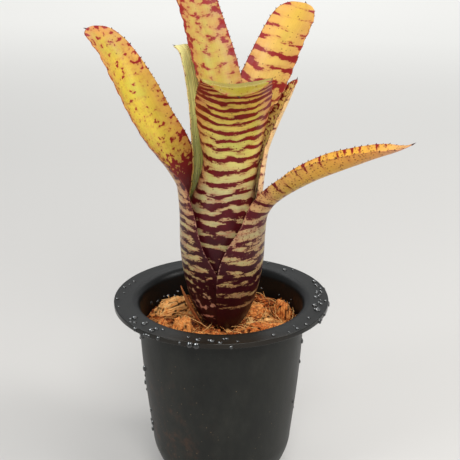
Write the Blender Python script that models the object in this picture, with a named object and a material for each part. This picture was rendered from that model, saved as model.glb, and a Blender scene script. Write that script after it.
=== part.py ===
"""Potted bromeliad: a tank bromeliad of nested strap leaves in a black nursery pot of coconut husk chips.

Units are metres and +Z is up. The origin is the middle of the pot's flat underside. The plant grows on
the pot's axis. Azimuths are degrees from +X towards +Y, and the plant is meant to be seen from -Y.
"""

import math
import random

import bmesh
import bpy
from mathutils import Matrix, Vector

MM = 0.001
GAP = 0.3 * MM  # between solids that touch

# Pot
POT_HEIGHT = 100 * MM
POT_WALL = 1.3 * MM
POT_FLOOR = 1.8 * MM
RIM_RADIUS = 52.5 * MM
FLANGE_WIDTH = 8.5 * MM
FLANGE_THICKNESS = 1.6 * MM
FLANGE_ROLL = 4.2 * MM  # radius of the curve from the inner wall out to the flange
LIP_DROP = 2.6 * MM  # how far the flange's outer edge turns down
NECK_RADIUS = RIM_RADIUS - FLANGE_WIDTH - FLANGE_ROLL + POT_WALL  # outer wall just below the flange
BASE_RADIUS = 22.5 * MM
SHOULDER_HEIGHT = 26 * MM  # where the tapering wall starts to curve in to the base
SHOULDER_RADIUS = 35.3 * MM
FOOT_CURVE = 1.76  # power of the curve from the shoulder in to the base
DRAIN_HOLES = 6
DRAIN_RADIUS = 3.4 * MM
DRAIN_CIRCLE = 15.5 * MM
POT_SIDES = 40

# Potting medium and the plant's short stem
HEADSPACE = 18 * MM  # from the medium up to the rim
MEDIUM_LEVEL = POT_HEIGHT - HEADSPACE
STEM_RADIUS = 3.4 * MM
STEM_DEPTH = 16 * MM  # buried in the medium
STEM_CROWN = 4.1 * MM  # how far the stem stands above the highest sheath's foot
STEM_SIDES = 16

# Leaves
LEAF_THICKNESS = 0.75 * MM
LAYER_GAP = 0.55 * MM  # between nested sheaths, and between a sheath's foot and the stem
LAYER_PITCH = LEAF_THICKNESS + LAYER_GAP
SHEATH_FOOT_RADIUS = STEM_RADIUS + LAYER_GAP + LEAF_THICKNESS  # a sheath's outer face at its foot
LEAN = 5 * MM  # how far the inner leaves' tube stands to +X of the pot's axis at its top
LEAN_FROM, LEAN_TO = 60 * MM, 90 * MM  # above the medium
SHEATH_ROWS = [1.5, 4, 8, 14, 22, 31, 40, 49, 58, 67, 76, 86]  # above the medium, mm
BLADE_STEP = 9  # mm along a blade from one row of faces to the next
COLUMN_TURN = 20  # degrees of arc across each column of faces

# The outermost sheath's outline: height above the medium, radius
TUBE_PROFILE = [
    (0.3, 4.4), (2, 7.2), (4.5, 9.6), (8, 12.1), (14, 15.1), (21, 17.4), (29, 19.2),
    (38, 20.5), (48, 21.1), (58, 21.0), (68, 19.4), (78, 17.4), (88, 17.0), (100, 17.2),
    (112, 17.6),
]

# Each leaf: azimuth, layer (0 is the outermost), whether it follows the tube's lean, sheath rows (height
# above the medium, half angle) up to where it leaves the tube, and blade rows (out from the tube's axis,
# height above the medium, channel radius, half angle, roll). "tip" is the length that rounds off its end.
LEAVES = {
    "leaf_right_low": dict(
        azimuth=-25, layer=0, leans=False, tip=16,
        sheath=[(0.3, 74), (8, 74), (17, 73), (30, 72), (37, 70), (44, 65), (51, 57)],
        blade=[
            (22.3, 60, 17, 49, 0), (25.5, 66.5, 12.5, 63, 0), (31, 72, 10.5, 76, 0),
            (39.5, 78.2, 10, 82, 0), (51, 85.0, 10, 80, 0), (62, 90.4, 9.5, 74, 0),
            (72.5, 95.2, 9, 64, 0), (81, 99.0, 8, 50, 0), (86.5, 101.8, 6, 36, 0),
            (89.5, 103.6, 4.5, 24, 0),
        ],
    ),
    "leaf_left": dict(
        azimuth=175, layer=1, leans=False, tip=10,
        sheath=[(0.3, 99), (8, 99), (17, 98), (30, 95), (37, 88), (44, 76), (51, 67), (58, 61), (66, 57)],
        blade=[
            (20.3, 74, 19, 54, 4), (23.2, 82.5, 19, 52, 12), (28, 91.5, 19, 51, 20), (34, 101, 19, 50, 24),
            (40, 113, 19, 49, 25), (45.2, 124.2, 18.5, 46, 25), (50.6, 135, 17, 42, 25),
            (55.6, 141.8, 15, 38, 24), (60.5, 146.4, 13, 34, 22),
        ],
    ),
    "leaf_right_back": dict(
        azimuth=12, layer=2, leans=False, tip=9,
        sheath=[(0.3, 62), (20, 62), (40, 58), (58, 54)],
        blade=[
            (19.2, 65, 18, 48, 0), (20.2, 74, 16, 48, 0), (21.2, 82, 14, 50, 0), (22.8, 90.5, 12, 52, 0),
            (25, 97, 11, 53, 0), (28.8, 106.5, 10.5, 52, 0), (31.6, 112.5, 10, 48, 0),
            (36.2, 123, 8, 38, 0),
        ],
    ),
    "leaf_left_back": dict(
        azimuth=148, layer=2, leans=False, tip=4.5,
        sheath=[(0.3, 58), (20, 58), (40, 54), (58, 48)],
        blade=[
            (16.6, 66, 15, 44, 0), (14.6, 75, 13, 45, 0), (13.6, 85, 11.5, 46, 0), (14.0, 94, 10.5, 47, 0),
            (15.2, 106, 9.5, 48, 0), (17.2, 121, 9, 48, 0), (19.0, 130, 8.5, 48, 0),
            (21.2, 135.5, 8, 46, 0), (24.4, 137.6, 7.5, 44, 0),
        ],
    ),
    "leaf_front": dict(
        azimuth=-87, layer=3, leans=True, tip=12,
        sheath=[(0.3, 118), (20, 110), (40, 102), (58, 97), (72, 95), (86, 92)],
        blade=[
            (14.0, 96, 15.0, 84, 0), (16.2, 105, 17.5, 69, 0), (19.8, 113, 21, 54, 0),
            (24.2, 120, 26, 39, 0), (29, 125.2, 34, 27, 0), (34, 127.8, 40, 22, 0),
            (38.5, 127.6, 42, 20, 0), (43, 125.0, 42, 18.5, 0),
        ],
    ),
    "leaf_right_tall": dict(
        azimuth=46, layer=4, leans=True, tip=13,
        sheath=[(0.3, 114), (20, 106), (40, 98), (58, 91), (72, 86), (86, 79)],
        blade=[
            (12.9, 97, 12.5, 74, 0), (15.8, 104.5, 13.5, 66, -4), (20.8, 112.5, 15.5, 54, -10),
            (26.8, 123.5, 17.5, 44, -16), (33.3, 134, 18, 39, -20), (40.3, 143, 18, 37, -20),
            (46.8, 150, 17.5, 35, -18), (52.0, 154.2, 16, 34, -16),
        ],
    ),
    "leaf_back_tall": dict(
        azimuth=122, layer=5, leans=True, tip=14,
        sheath=[(0.3, 110), (20, 104), (40, 98), (58, 92), (72, 87), (86, 81)],
        blade=[
            (10.9, 98, 11, 76, 0), (12.2, 110, 12.5, 64, 0), (15.5, 121, 14.5, 54, 0), (20, 131, 16, 48, 0),
            (25.5, 141.5, 16.5, 44, 0), (31.5, 152, 16.5, 42, 0), (37.5, 162, 16, 41, 0),
            (44, 171.5, 15, 40, 0),
        ],
    ),
    "leaf_young_centre": dict(
        azimuth=-20, layer=6, leans=True, tip=9,
        sheath=[(0.3, 112), (20, 122), (40, 130), (58, 136), (72, 138), (86, 136)],
        blade=[(9.0, 93, 8.8, 126, 0), (8.8, 99, 8.2, 108, 0), (8.9, 104, 7.8, 92, 0)],
    ),
    "basal_scale": dict(
        azimuth=193, layer=-1, leans=False, tip=9,
        sheath=[(0.3, 34), (5, 32), (12, 27), (17, 22)],
        blade=[(18.9, 20, 20, 18, 0), (20.2, 25, 21, 12, 0)],
    ),
}

# Husk chips, largest first: length, width and height in mm. The big ones also have a place: how far out
# from the plant (0) to the pot's wall (1), azimuth, and their own turn. The rest are dropped wherever they
# fit between the plant and the wall, and a chip that fits nowhere is broken smaller.
CHIP_SEED = 41
CHIP_SPACE = 0.5 * MM  # kept clear between neighbouring chips
CHIP_TRIES = 900
CHIP_BREAK = 0.88  # size of a broken chip against the one before
PLACED_CHIPS = [
    (21, 12, 9.5, 0.627, 148.5, 30),
    (12, 8.5, 11, 0.347, -152.2, 12),
    (14, 9, 10, 0.788, 19.5, 100),
    (16, 11, 9.5, 0.413, -37.1, -25),
    (14, 8, 5, 0.687, -172.4, 80),
]
LOOSE_CHIPS = [
    (15, 9, 7.5), (14, 9, 6.5), (13, 8, 8), (13, 8, 5), (12, 8, 6.5), (12, 7.5, 7), (11, 8, 4.5),
    (11, 7, 6), (10, 7, 5), (10, 6.5, 5.5), (9, 6.5, 4), (9, 6, 4.5), (8.5, 6, 4), (8, 5.5, 3.5),
    (7.5, 5.5, 4), (7, 5, 3.5), (6.5, 5, 3), (6, 4.5, 3), (6, 4, 2.5), (5.5, 4, 2.5),
]
PLANT_CLEARANCE = 12.5 * MM


def clear_scene():
    for old in list(bpy.data.objects):
        bpy.data.objects.remove(old)


def material(name, colour, roughness):
    made = bpy.data.materials.new(name)
    made.use_nodes = True
    shader = made.node_tree.nodes["Principled BSDF"]
    shader.inputs["Base Color"].default_value = (*colour, 1)
    shader.inputs["Roughness"].default_value = roughness
    return made


def solid_object(name, mesh_builder, finish):
    """Makes the named object from a bmesh and gives it its material and outward faces."""
    bmesh.ops.recalc_face_normals(mesh_builder, faces=mesh_builder.faces)
    if mesh_builder.calc_volume(signed=True) < 0:
        bmesh.ops.reverse_faces(mesh_builder, faces=mesh_builder.faces)
    mesh = bpy.data.meshes.new(name)
    mesh_builder.to_mesh(mesh)
    mesh_builder.free()
    mesh.materials.append(finish)
    mesh.shade_smooth()
    mesh.set_sharp_from_angle(angle=math.radians(40))
    made = bpy.data.objects.new(name, mesh)
    bpy.context.scene.collection.objects.link(made)
    return made


def smooth_value(rows, x):
    """Monotone cubic interpolation through (x, value) rows, held at both ends."""
    if x <= rows[0][0]:
        return rows[0][1]
    if x >= rows[-1][0]:
        return rows[-1][1]
    xs = [row[0] for row in rows]
    ys = [row[1] for row in rows]
    steps = [(ys[i + 1] - ys[i]) / (xs[i + 1] - xs[i]) for i in range(len(xs) - 1)]
    slopes = [steps[0]]
    for before, after in zip(steps, steps[1:]):
        slopes.append(0.0 if before * after <= 0 else 2 * before * after / (before + after))
    slopes.append(steps[-1])
    i = max(k for k in range(len(xs) - 1) if xs[k] <= x)
    width = xs[i + 1] - xs[i]
    t = (x - xs[i]) / width
    return (
        (2 * t**3 - 3 * t**2 + 1) * ys[i]
        + (t**3 - 2 * t**2 + t) * width * slopes[i]
        + (3 * t**2 - 2 * t**3) * ys[i + 1]
        + (t**3 - t**2) * width * slopes[i + 1]
    )


def spin(outline, sides):
    """Turns a closed outline of (radius, height) points about Z into one closed surface."""
    made = bmesh.new()
    rings = []
    for radius, height in outline:
        if radius < 1e-9:
            rings.append([made.verts.new((0, 0, height))] * sides)
            continue
        turn = [2 * math.pi * k / sides for k in range(sides)]
        rings.append([made.verts.new((radius * math.cos(a), radius * math.sin(a), height)) for a in turn])
    for lower, upper in zip(rings, rings[1:]):
        for k in range(sides):
            after = (k + 1) % sides
            corners = list(dict.fromkeys([lower[k], lower[after], upper[after], upper[k]]))
            if len(corners) > 2:
                made.faces.new(corners)
    return made


# ---------------------------------------------------------------- pot and medium


def wall_radius(height):
    """Outer radius of the pot's body: a rounded foot, then a gentle taper up to the neck."""
    if height >= SHOULDER_HEIGHT:
        share = (height - SHOULDER_HEIGHT) / (POT_HEIGHT - SHOULDER_HEIGHT)
        bulge = 0.9 * MM * math.sin(math.pi * share)
        return SHOULDER_RADIUS + (NECK_RADIUS - SHOULDER_RADIUS) * share + bulge
    share = 1 - height / SHOULDER_HEIGHT
    return SHOULDER_RADIUS - (SHOULDER_RADIUS - BASE_RADIUS) * share**FOOT_CURVE


def pot_heights():
    """Heights of the wall's rings, closest together where the foot curves in."""
    foot = [SHOULDER_HEIGHT * share for share in (0.1, 0.25, 0.5, 0.75, 1.0)]
    under_flange = POT_HEIGHT - FLANGE_THICKNESS - FLANGE_ROLL
    steps = 4
    body = [SHOULDER_HEIGHT + (under_flange - SHOULDER_HEIGHT) * k / steps for k in range(1, steps + 1)]
    return foot + body


def make_pot(finish):
    inner_wall = NECK_RADIUS - POT_WALL
    flange_start = inner_wall + FLANGE_ROLL
    outline = [(0, 0), (BASE_RADIUS - 1.2 * MM, 0), (BASE_RADIUS, 0.6 * MM)]
    outline += [(wall_radius(z), z) for z in pot_heights()]
    under = POT_HEIGHT - FLANGE_THICKNESS
    outline += [
        (NECK_RADIUS + 0.6 * MM, under - FLANGE_ROLL * 0.45),
        (NECK_RADIUS + 2.2 * MM, under - 0.3 * MM),
        (RIM_RADIUS - FLANGE_THICKNESS, under),
        (RIM_RADIUS - FLANGE_THICKNESS, POT_HEIGHT - LIP_DROP),
        (RIM_RADIUS - 0.3 * MM, POT_HEIGHT - LIP_DROP),
        (RIM_RADIUS, POT_HEIGHT - LIP_DROP + 0.3 * MM),
        (RIM_RADIUS, POT_HEIGHT - 0.7 * MM),
        (RIM_RADIUS - 0.7 * MM, POT_HEIGHT),
    ]
    roll_steps = 4
    for k in range(roll_steps + 1):
        turn = math.pi / 2 * k / roll_steps
        radius = flange_start - FLANGE_ROLL * math.sin(turn)
        outline.append((radius, POT_HEIGHT - FLANGE_ROLL * (1 - math.cos(turn))))
    outline += [(wall_radius(z) - POT_WALL, z) for z in reversed(pot_heights()[1:-1])]
    outline += [(wall_radius(POT_FLOOR) - POT_WALL - 1.0 * MM, POT_FLOOR), (0, POT_FLOOR)]
    pot = solid_object("pot", spin(outline, POT_SIDES), finish)
    for k in range(DRAIN_HOLES):
        turn = 2 * math.pi * (k + 0.5) / DRAIN_HOLES
        bpy.ops.mesh.primitive_cylinder_add(
            vertices=16,
            radius=DRAIN_RADIUS,
            depth=6 * POT_FLOOR,
            location=(DRAIN_CIRCLE * math.cos(turn), DRAIN_CIRCLE * math.sin(turn), 0),
        )
        cutter = bpy.context.object
        cutter.name = f"drain_cutter_{k + 1}"
        cutter.hide_render = True
        cutter.display_type = "WIRE"
        cut = pot.modifiers.new("drain", "BOOLEAN")
        cut.operation = "DIFFERENCE"
        cut.solver = "MANIFOLD"
        cut.object = cutter


def make_medium(finish):
    """The body of coir under the loose chips, with the socket that the stem stands in."""
    socket = STEM_RADIUS + GAP
    socket_floor = MEDIUM_LEVEL - STEM_DEPTH - GAP
    heights = [z for z in pot_heights()[1:] if POT_FLOOR + 3 * MM < z < MEDIUM_LEVEL - 3 * MM]
    bottom = POT_FLOOR + GAP
    outline = [(0, bottom), (wall_radius(bottom) - POT_WALL - 1.0 * MM - 2 * GAP, bottom)]
    outline += [(wall_radius(z) - POT_WALL - 1.5 * GAP, z) for z in [*heights, MEDIUM_LEVEL]]
    outline += [(socket, MEDIUM_LEVEL), (socket, socket_floor), (0, socket_floor)]
    solid_object("coir_medium", spin(outline, POT_SIDES), finish)


def make_stem(finish):
    feet = [sheath_point(sheath_foot(leaf["layer"]), leaf["layer"])[1] for leaf in LEAVES.values()]
    low, high = MEDIUM_LEVEL - STEM_DEPTH, MEDIUM_LEVEL + max(feet) * MM + STEM_CROWN
    outline = [
        (0, low), (0.6 * STEM_RADIUS, low), (STEM_RADIUS, low + 2 * MM),
        (STEM_RADIUS, high - 3 * MM), (0.6 * STEM_RADIUS, high - 0.8 * MM), (0, high),
    ]
    solid_object("stem", spin(outline, STEM_SIDES), finish)


def chip_block(chooser, length, width, height, turn):
    """A husk chip at the origin: the convex hull of a jittered, tapering block, standing on z = 0."""
    made = bmesh.new()
    corners = [(1, 0.55), (0.5, 1), (-0.55, 1), (-1, 0.5), (-1, -0.6), (-0.5, -1), (0.6, -1), (1, -0.5)]
    # Three layers of corners, widest just above the foot.
    for level, spread in ((0.0, 0.86), (0.35, 1.0), (1.0, 0.68)):
        for across, out in corners:
            reach = spread * chooser.uniform(0.84, 1.0)
            lift = level * chooser.uniform(0.72, 1.0) if level > 0.5 else level
            made.verts.new((across * reach * length / 2, out * reach * width / 2, lift * height))
    hull = bmesh.ops.convex_hull(made, input=made.verts)
    bmesh.ops.delete(made, geom=list(set(hull["geom_interior"] + hull["geom_unused"])), context="VERTS")
    lean_by = chooser.uniform(-0.18, 0.18)
    for corner in made.verts:
        corner.co.x += corner.co.z * lean_by
    bmesh.ops.rotate(made, verts=made.verts, matrix=Matrix.Rotation(math.radians(turn), 3, "Z"))
    bmesh.ops.triangulate(made, faces=made.faces)
    return made


def apart(first, second, space):
    """True when two convex footprints are at least this far apart along some edge's normal."""
    for shape, other in ((first, second), (second, first)):
        for a, b in zip(shape, shape[1:] + shape[:1]):
            normal = Vector((b.y - a.y, a.x - b.x))
            if normal.length < 1e-7:
                continue
            normal.normalize()
            if min((p - a).dot(normal) for p in other) >= space:
                return True
    return False


def footprint(block, x, y):
    """The counter-clockwise convex outline of a block seen from above, moved to (x, y)."""
    points = sorted({(v.co.x + x, v.co.y + y) for v in block.verts})
    outline = []
    for run in (points, points[::-1]):
        chain = []
        for p in run:
            while len(chain) > 1:
                (ax, ay), (bx, by) = chain[-2:]
                if (bx - ax) * (p[1] - ay) - (by - ay) * (p[0] - ax) > 0:
                    break
                chain.pop()
            chain.append(p)
        outline += chain[:-1]
    return [Vector(p) for p in outline]


def fits(outline, taken, wall):
    if any(p.length > wall for p in outline):
        return False
    circle = [Vector((math.cos(a), math.sin(a))) for a in (2 * math.pi * k / 24 for k in range(24))]
    ring = [p * PLANT_CLEARANCE for p in circle]
    return apart(outline, ring, CHIP_SPACE) and all(apart(outline, other, CHIP_SPACE) for other in taken)


def make_chips(finish):
    """Husk chips lying on the medium, each clear of the plant, the wall and the other chips."""
    chooser = random.Random(CHIP_SEED)
    wall = wall_radius(MEDIUM_LEVEL) - POT_WALL - 2 * GAP
    taken = []
    rows = PLACED_CHIPS + [(*sizes, None, None, None) for sizes in LOOSE_CHIPS]
    for number, (*sizes, share, azimuth, turn) in enumerate(rows, 1):
        block = None
        while block is None:
            for _ in range(CHIP_TRIES):
                if share is None:
                    out = math.sqrt(chooser.uniform(PLANT_CLEARANCE**2, wall**2))
                    at, heading = chooser.uniform(0, 2 * math.pi), chooser.uniform(0, 180)
                else:
                    out = PLANT_CLEARANCE + share * (wall - PLANT_CLEARANCE)
                    at, heading = math.radians(azimuth), turn
                place = (out * math.cos(at), out * math.sin(at))
                block = chip_block(chooser, *(size * MM for size in sizes), heading)
                outline = footprint(block, *place)
                if fits(outline, taken, wall):
                    break
                block.free()
                block = None
            sizes = [size * CHIP_BREAK for size in sizes]
        bmesh.ops.translate(block, verts=block.verts, vec=(*place, MEDIUM_LEVEL + GAP))
        taken.append(outline)
        solid_object(f"husk_chip_{number:02d}", block, finish)


# ---------------------------------------------------------------- leaves


def tube_radius(height):
    return smooth_value(TUBE_PROFILE, height)


def sheath_point(height, layer):
    """(radius, height above the medium) of a sheath's outer face, set in by its layer."""
    step = 0.2
    slope = (tube_radius(height + step) - tube_radius(height - step)) / (2 * step)
    inward = layer * (LAYER_PITCH / MM) / math.hypot(1, slope)
    return tube_radius(height) - inward, height + inward * slope


def sheath_foot(layer):
    """The profile height at which a sheath of this layer meets the stem, clear of the medium."""
    height = TUBE_PROFILE[0][0]
    while True:
        radius, level = sheath_point(height, layer)
        if radius >= SHEATH_FOOT_RADIUS / MM and level >= GAP / MM:
            return height
        height += 0.05


def leaf_stations(leaf):
    """Rows of [out, height, channel radius, half angle, roll, upright share] from the foot to the tip."""
    foot = sheath_foot(leaf["layer"])
    top = leaf["sheath"][-1][0]
    heights = [foot] + [h for h in SHEATH_ROWS if foot + 1 < h <= top]
    rows = []
    for height in heights:
        radius, level = sheath_point(height, leaf["layer"])
        rows.append((radius, level, radius, smooth_value(leaf["sheath"], height), 0.0, 1.0))
    sheath_count = len(rows)
    rows += [(*row, 0.0) for row in leaf["blade"]]
    length = [0.0]
    for before, after in zip(rows, rows[1:]):
        length.append(length[-1] + math.hypot(after[0] - before[0], after[1] - before[1]))
    whole, start, tip = length[-1], length[sheath_count - 1], leaf["tip"]
    count = max(2, round((whole - tip - start) / BLADE_STEP))
    places = length[:sheath_count]
    places += [start + (whole - tip - start) * k / count for k in range(1, count + 1)]
    places += [whole - tip * share for share in (0.6, 0.3, 0.1, 0.0)]
    columns = [[(s, row[i]) for s, row in zip(length, rows)] for i in range(6)]
    stations = []
    for s in places:
        row = [smooth_value(column, s) for column in columns]
        left = min(1.0, (whole - s) / tip)
        row[3] *= max(0.06, (1 - (1 - left) ** 2.2) ** (1 / 2.2))
        stations.append(row)
    return stations


def leaf_surface(leaf):
    """Outer-face points of the leaf, rows from foot to tip and columns from edge to edge."""
    turn = math.radians(leaf["azimuth"])
    outward = Vector((math.cos(turn), math.sin(turn), 0))
    across = Vector((-math.sin(turn), math.cos(turn), 0))
    stations = leaf_stations(leaf)
    spine = []
    for out, height, *_ in stations:
        share = min(1.0, max(0.0, (height * MM - LEAN_FROM) / (LEAN_TO - LEAN_FROM)))
        lean = LEAN * share * share * (3 - 2 * share) if leaf["leans"] else 0.0
        spine.append(outward * out * MM + Vector((lean, 0, MEDIUM_LEVEL + height * MM)))
    columns = 2 * max(2, math.ceil(max(row[3] for row in stations) / COLUMN_TURN))
    last = len(stations) - 1
    grid = []
    for k, (_, _, channel, half, roll, upright) in enumerate(stations):
        along = (spine[min(k + 1, last)] - spine[max(k - 1, 0)]).normalized()
        facing = along.cross(across).normalized()
        facing = (facing * (1 - upright) - outward * upright).normalized()
        side = (facing.cross(along).normalized() * (1 - upright) + across * upright).normalized()
        lift = math.radians(roll)
        up = facing * math.cos(lift) + side * math.sin(lift)
        side = side * math.cos(lift) - facing * math.sin(lift)
        line = []
        for j in range(columns + 1):
            angle = math.radians(half) * (2 * j / columns - 1)
            line.append(spine[k] + (up * (1 - math.cos(angle)) + side * math.sin(angle)) * channel * MM)
        grid.append(line)
    return grid


def make_leaf(name, leaf, finish):
    outer = leaf_surface(leaf)
    rows, columns = len(outer) - 1, len(outer[0]) - 1
    made = bmesh.new()
    sheets = []
    for shift in (0.0, LEAF_THICKNESS):
        sheet = []
        for k, line in enumerate(outer):
            row = []
            for j, point in enumerate(line):
                along = outer[min(k + 1, rows)][j] - outer[max(k - 1, 0)][j]
                sideways = line[min(j + 1, columns)] - line[max(j - 1, 0)]
                inward = along.cross(sideways).normalized()
                row.append(made.verts.new(point + inward * shift))
            sheet.append(row)
        sheets.append(sheet)
    front, back = sheets
    for k in range(rows):
        for j in range(columns):
            made.faces.new([front[k][j], front[k][j + 1], front[k + 1][j + 1], front[k + 1][j]])
            made.faces.new([back[k][j], back[k + 1][j], back[k + 1][j + 1], back[k][j + 1]])
        for j in (0, columns):
            made.faces.new([front[k][j], front[k + 1][j], back[k + 1][j], back[k][j]])
    for k in (0, rows):
        for j in range(columns):
            made.faces.new([front[k][j], front[k][j + 1], back[k][j + 1], back[k][j]])
    bmesh.ops.triangulate(made, faces=made.faces)
    solid_object(name, made, finish)


def main():
    clear_scene()
    black_plastic = material("black_plastic", (0.045, 0.045, 0.043), 0.55)
    husk = material("coconut_husk", (0.55, 0.25, 0.10), 0.9)
    leaf_skin = material("leaf_skin", (0.62, 0.52, 0.12), 0.4)
    dry_leaf = material("dry_leaf", (0.42, 0.22, 0.10), 0.8)
    stem_flesh = material("stem_flesh", (0.45, 0.42, 0.24), 0.7)
    make_pot(black_plastic)
    make_medium(husk)
    make_stem(stem_flesh)
    make_chips(husk)
    for name, leaf in LEAVES.items():
        make_leaf(name, leaf, dry_leaf if name == "basal_scale" else leaf_skin)


main()
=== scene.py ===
"""Looks of the potted bromeliad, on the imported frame.

Every leaf is rebuilt as a fine sheet on the same stations as its CAD solid, with spines along its margins
and its own banding. The pot, the coir and each husk chip are rebuilt with their surface detail, and loose
crumbs, fibres and water drops are added. Lengths are metres unless a name or comment says mm.
"""

import math
import random

import bmesh
import bpy
import numpy as np
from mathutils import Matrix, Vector, noise


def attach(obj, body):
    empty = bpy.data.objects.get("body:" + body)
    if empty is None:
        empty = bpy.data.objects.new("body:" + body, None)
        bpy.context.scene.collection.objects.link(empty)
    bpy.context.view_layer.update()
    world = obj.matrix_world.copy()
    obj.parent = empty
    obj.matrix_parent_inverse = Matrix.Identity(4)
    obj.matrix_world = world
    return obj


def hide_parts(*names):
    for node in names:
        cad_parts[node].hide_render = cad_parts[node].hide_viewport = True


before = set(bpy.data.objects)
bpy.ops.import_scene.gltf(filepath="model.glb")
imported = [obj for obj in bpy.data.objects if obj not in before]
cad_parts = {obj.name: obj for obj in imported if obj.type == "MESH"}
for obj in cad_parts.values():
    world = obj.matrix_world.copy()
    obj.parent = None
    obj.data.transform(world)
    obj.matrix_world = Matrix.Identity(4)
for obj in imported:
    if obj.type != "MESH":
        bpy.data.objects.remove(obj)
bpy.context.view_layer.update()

MM = 0.001

# ---------------------------------------------------------------- sizes shared with the CAD model

POT_HEIGHT = 100 * MM
POT_WALL = 1.3 * MM
POT_FLOOR = 1.8 * MM
RIM_RADIUS = 52.5 * MM
FLANGE_WIDTH = 8.5 * MM
FLANGE_THICKNESS = 1.6 * MM
FLANGE_ROLL = 4.2 * MM
LIP_DROP = 2.6 * MM
NECK_RADIUS = RIM_RADIUS - FLANGE_WIDTH - FLANGE_ROLL + POT_WALL
BASE_RADIUS = 22.5 * MM
SHOULDER_HEIGHT = 26 * MM
SHOULDER_RADIUS = 35.3 * MM
FOOT_CURVE = 1.76
DRAIN_HOLES = 6
DRAIN_RADIUS = 3.4 * MM
DRAIN_CIRCLE = 15.5 * MM
MEDIUM_LEVEL = POT_HEIGHT - 18 * MM
STEM_RADIUS = 3.4 * MM
PLANT_CLEARANCE = 12.5 * MM
WALL_TAPER = 0.05  # how much the pot's wall closes in for each unit down

LEAF_THICKNESS = 0.75 * MM
LAYER_GAP = 0.55 * MM
LAYER_PITCH = LEAF_THICKNESS + LAYER_GAP
SHEATH_FOOT_RADIUS = STEM_RADIUS + LAYER_GAP + LEAF_THICKNESS
LEAN = 5 * MM
LEAN_FROM, LEAN_TO = 60 * MM, 90 * MM
SHEATH_ROWS = [1.5, 4, 8, 14, 22, 31, 40, 49, 58, 67, 76, 86]
TUBE_PROFILE = [
    (0.3, 4.4), (2, 7.2), (4.5, 9.6), (8, 12.1), (14, 15.1), (21, 17.4), (29, 19.2),
    (38, 20.5), (48, 21.1), (58, 21.0), (68, 19.4), (78, 17.4), (88, 17.0), (100, 17.2),
    (112, 17.6),
]

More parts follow.
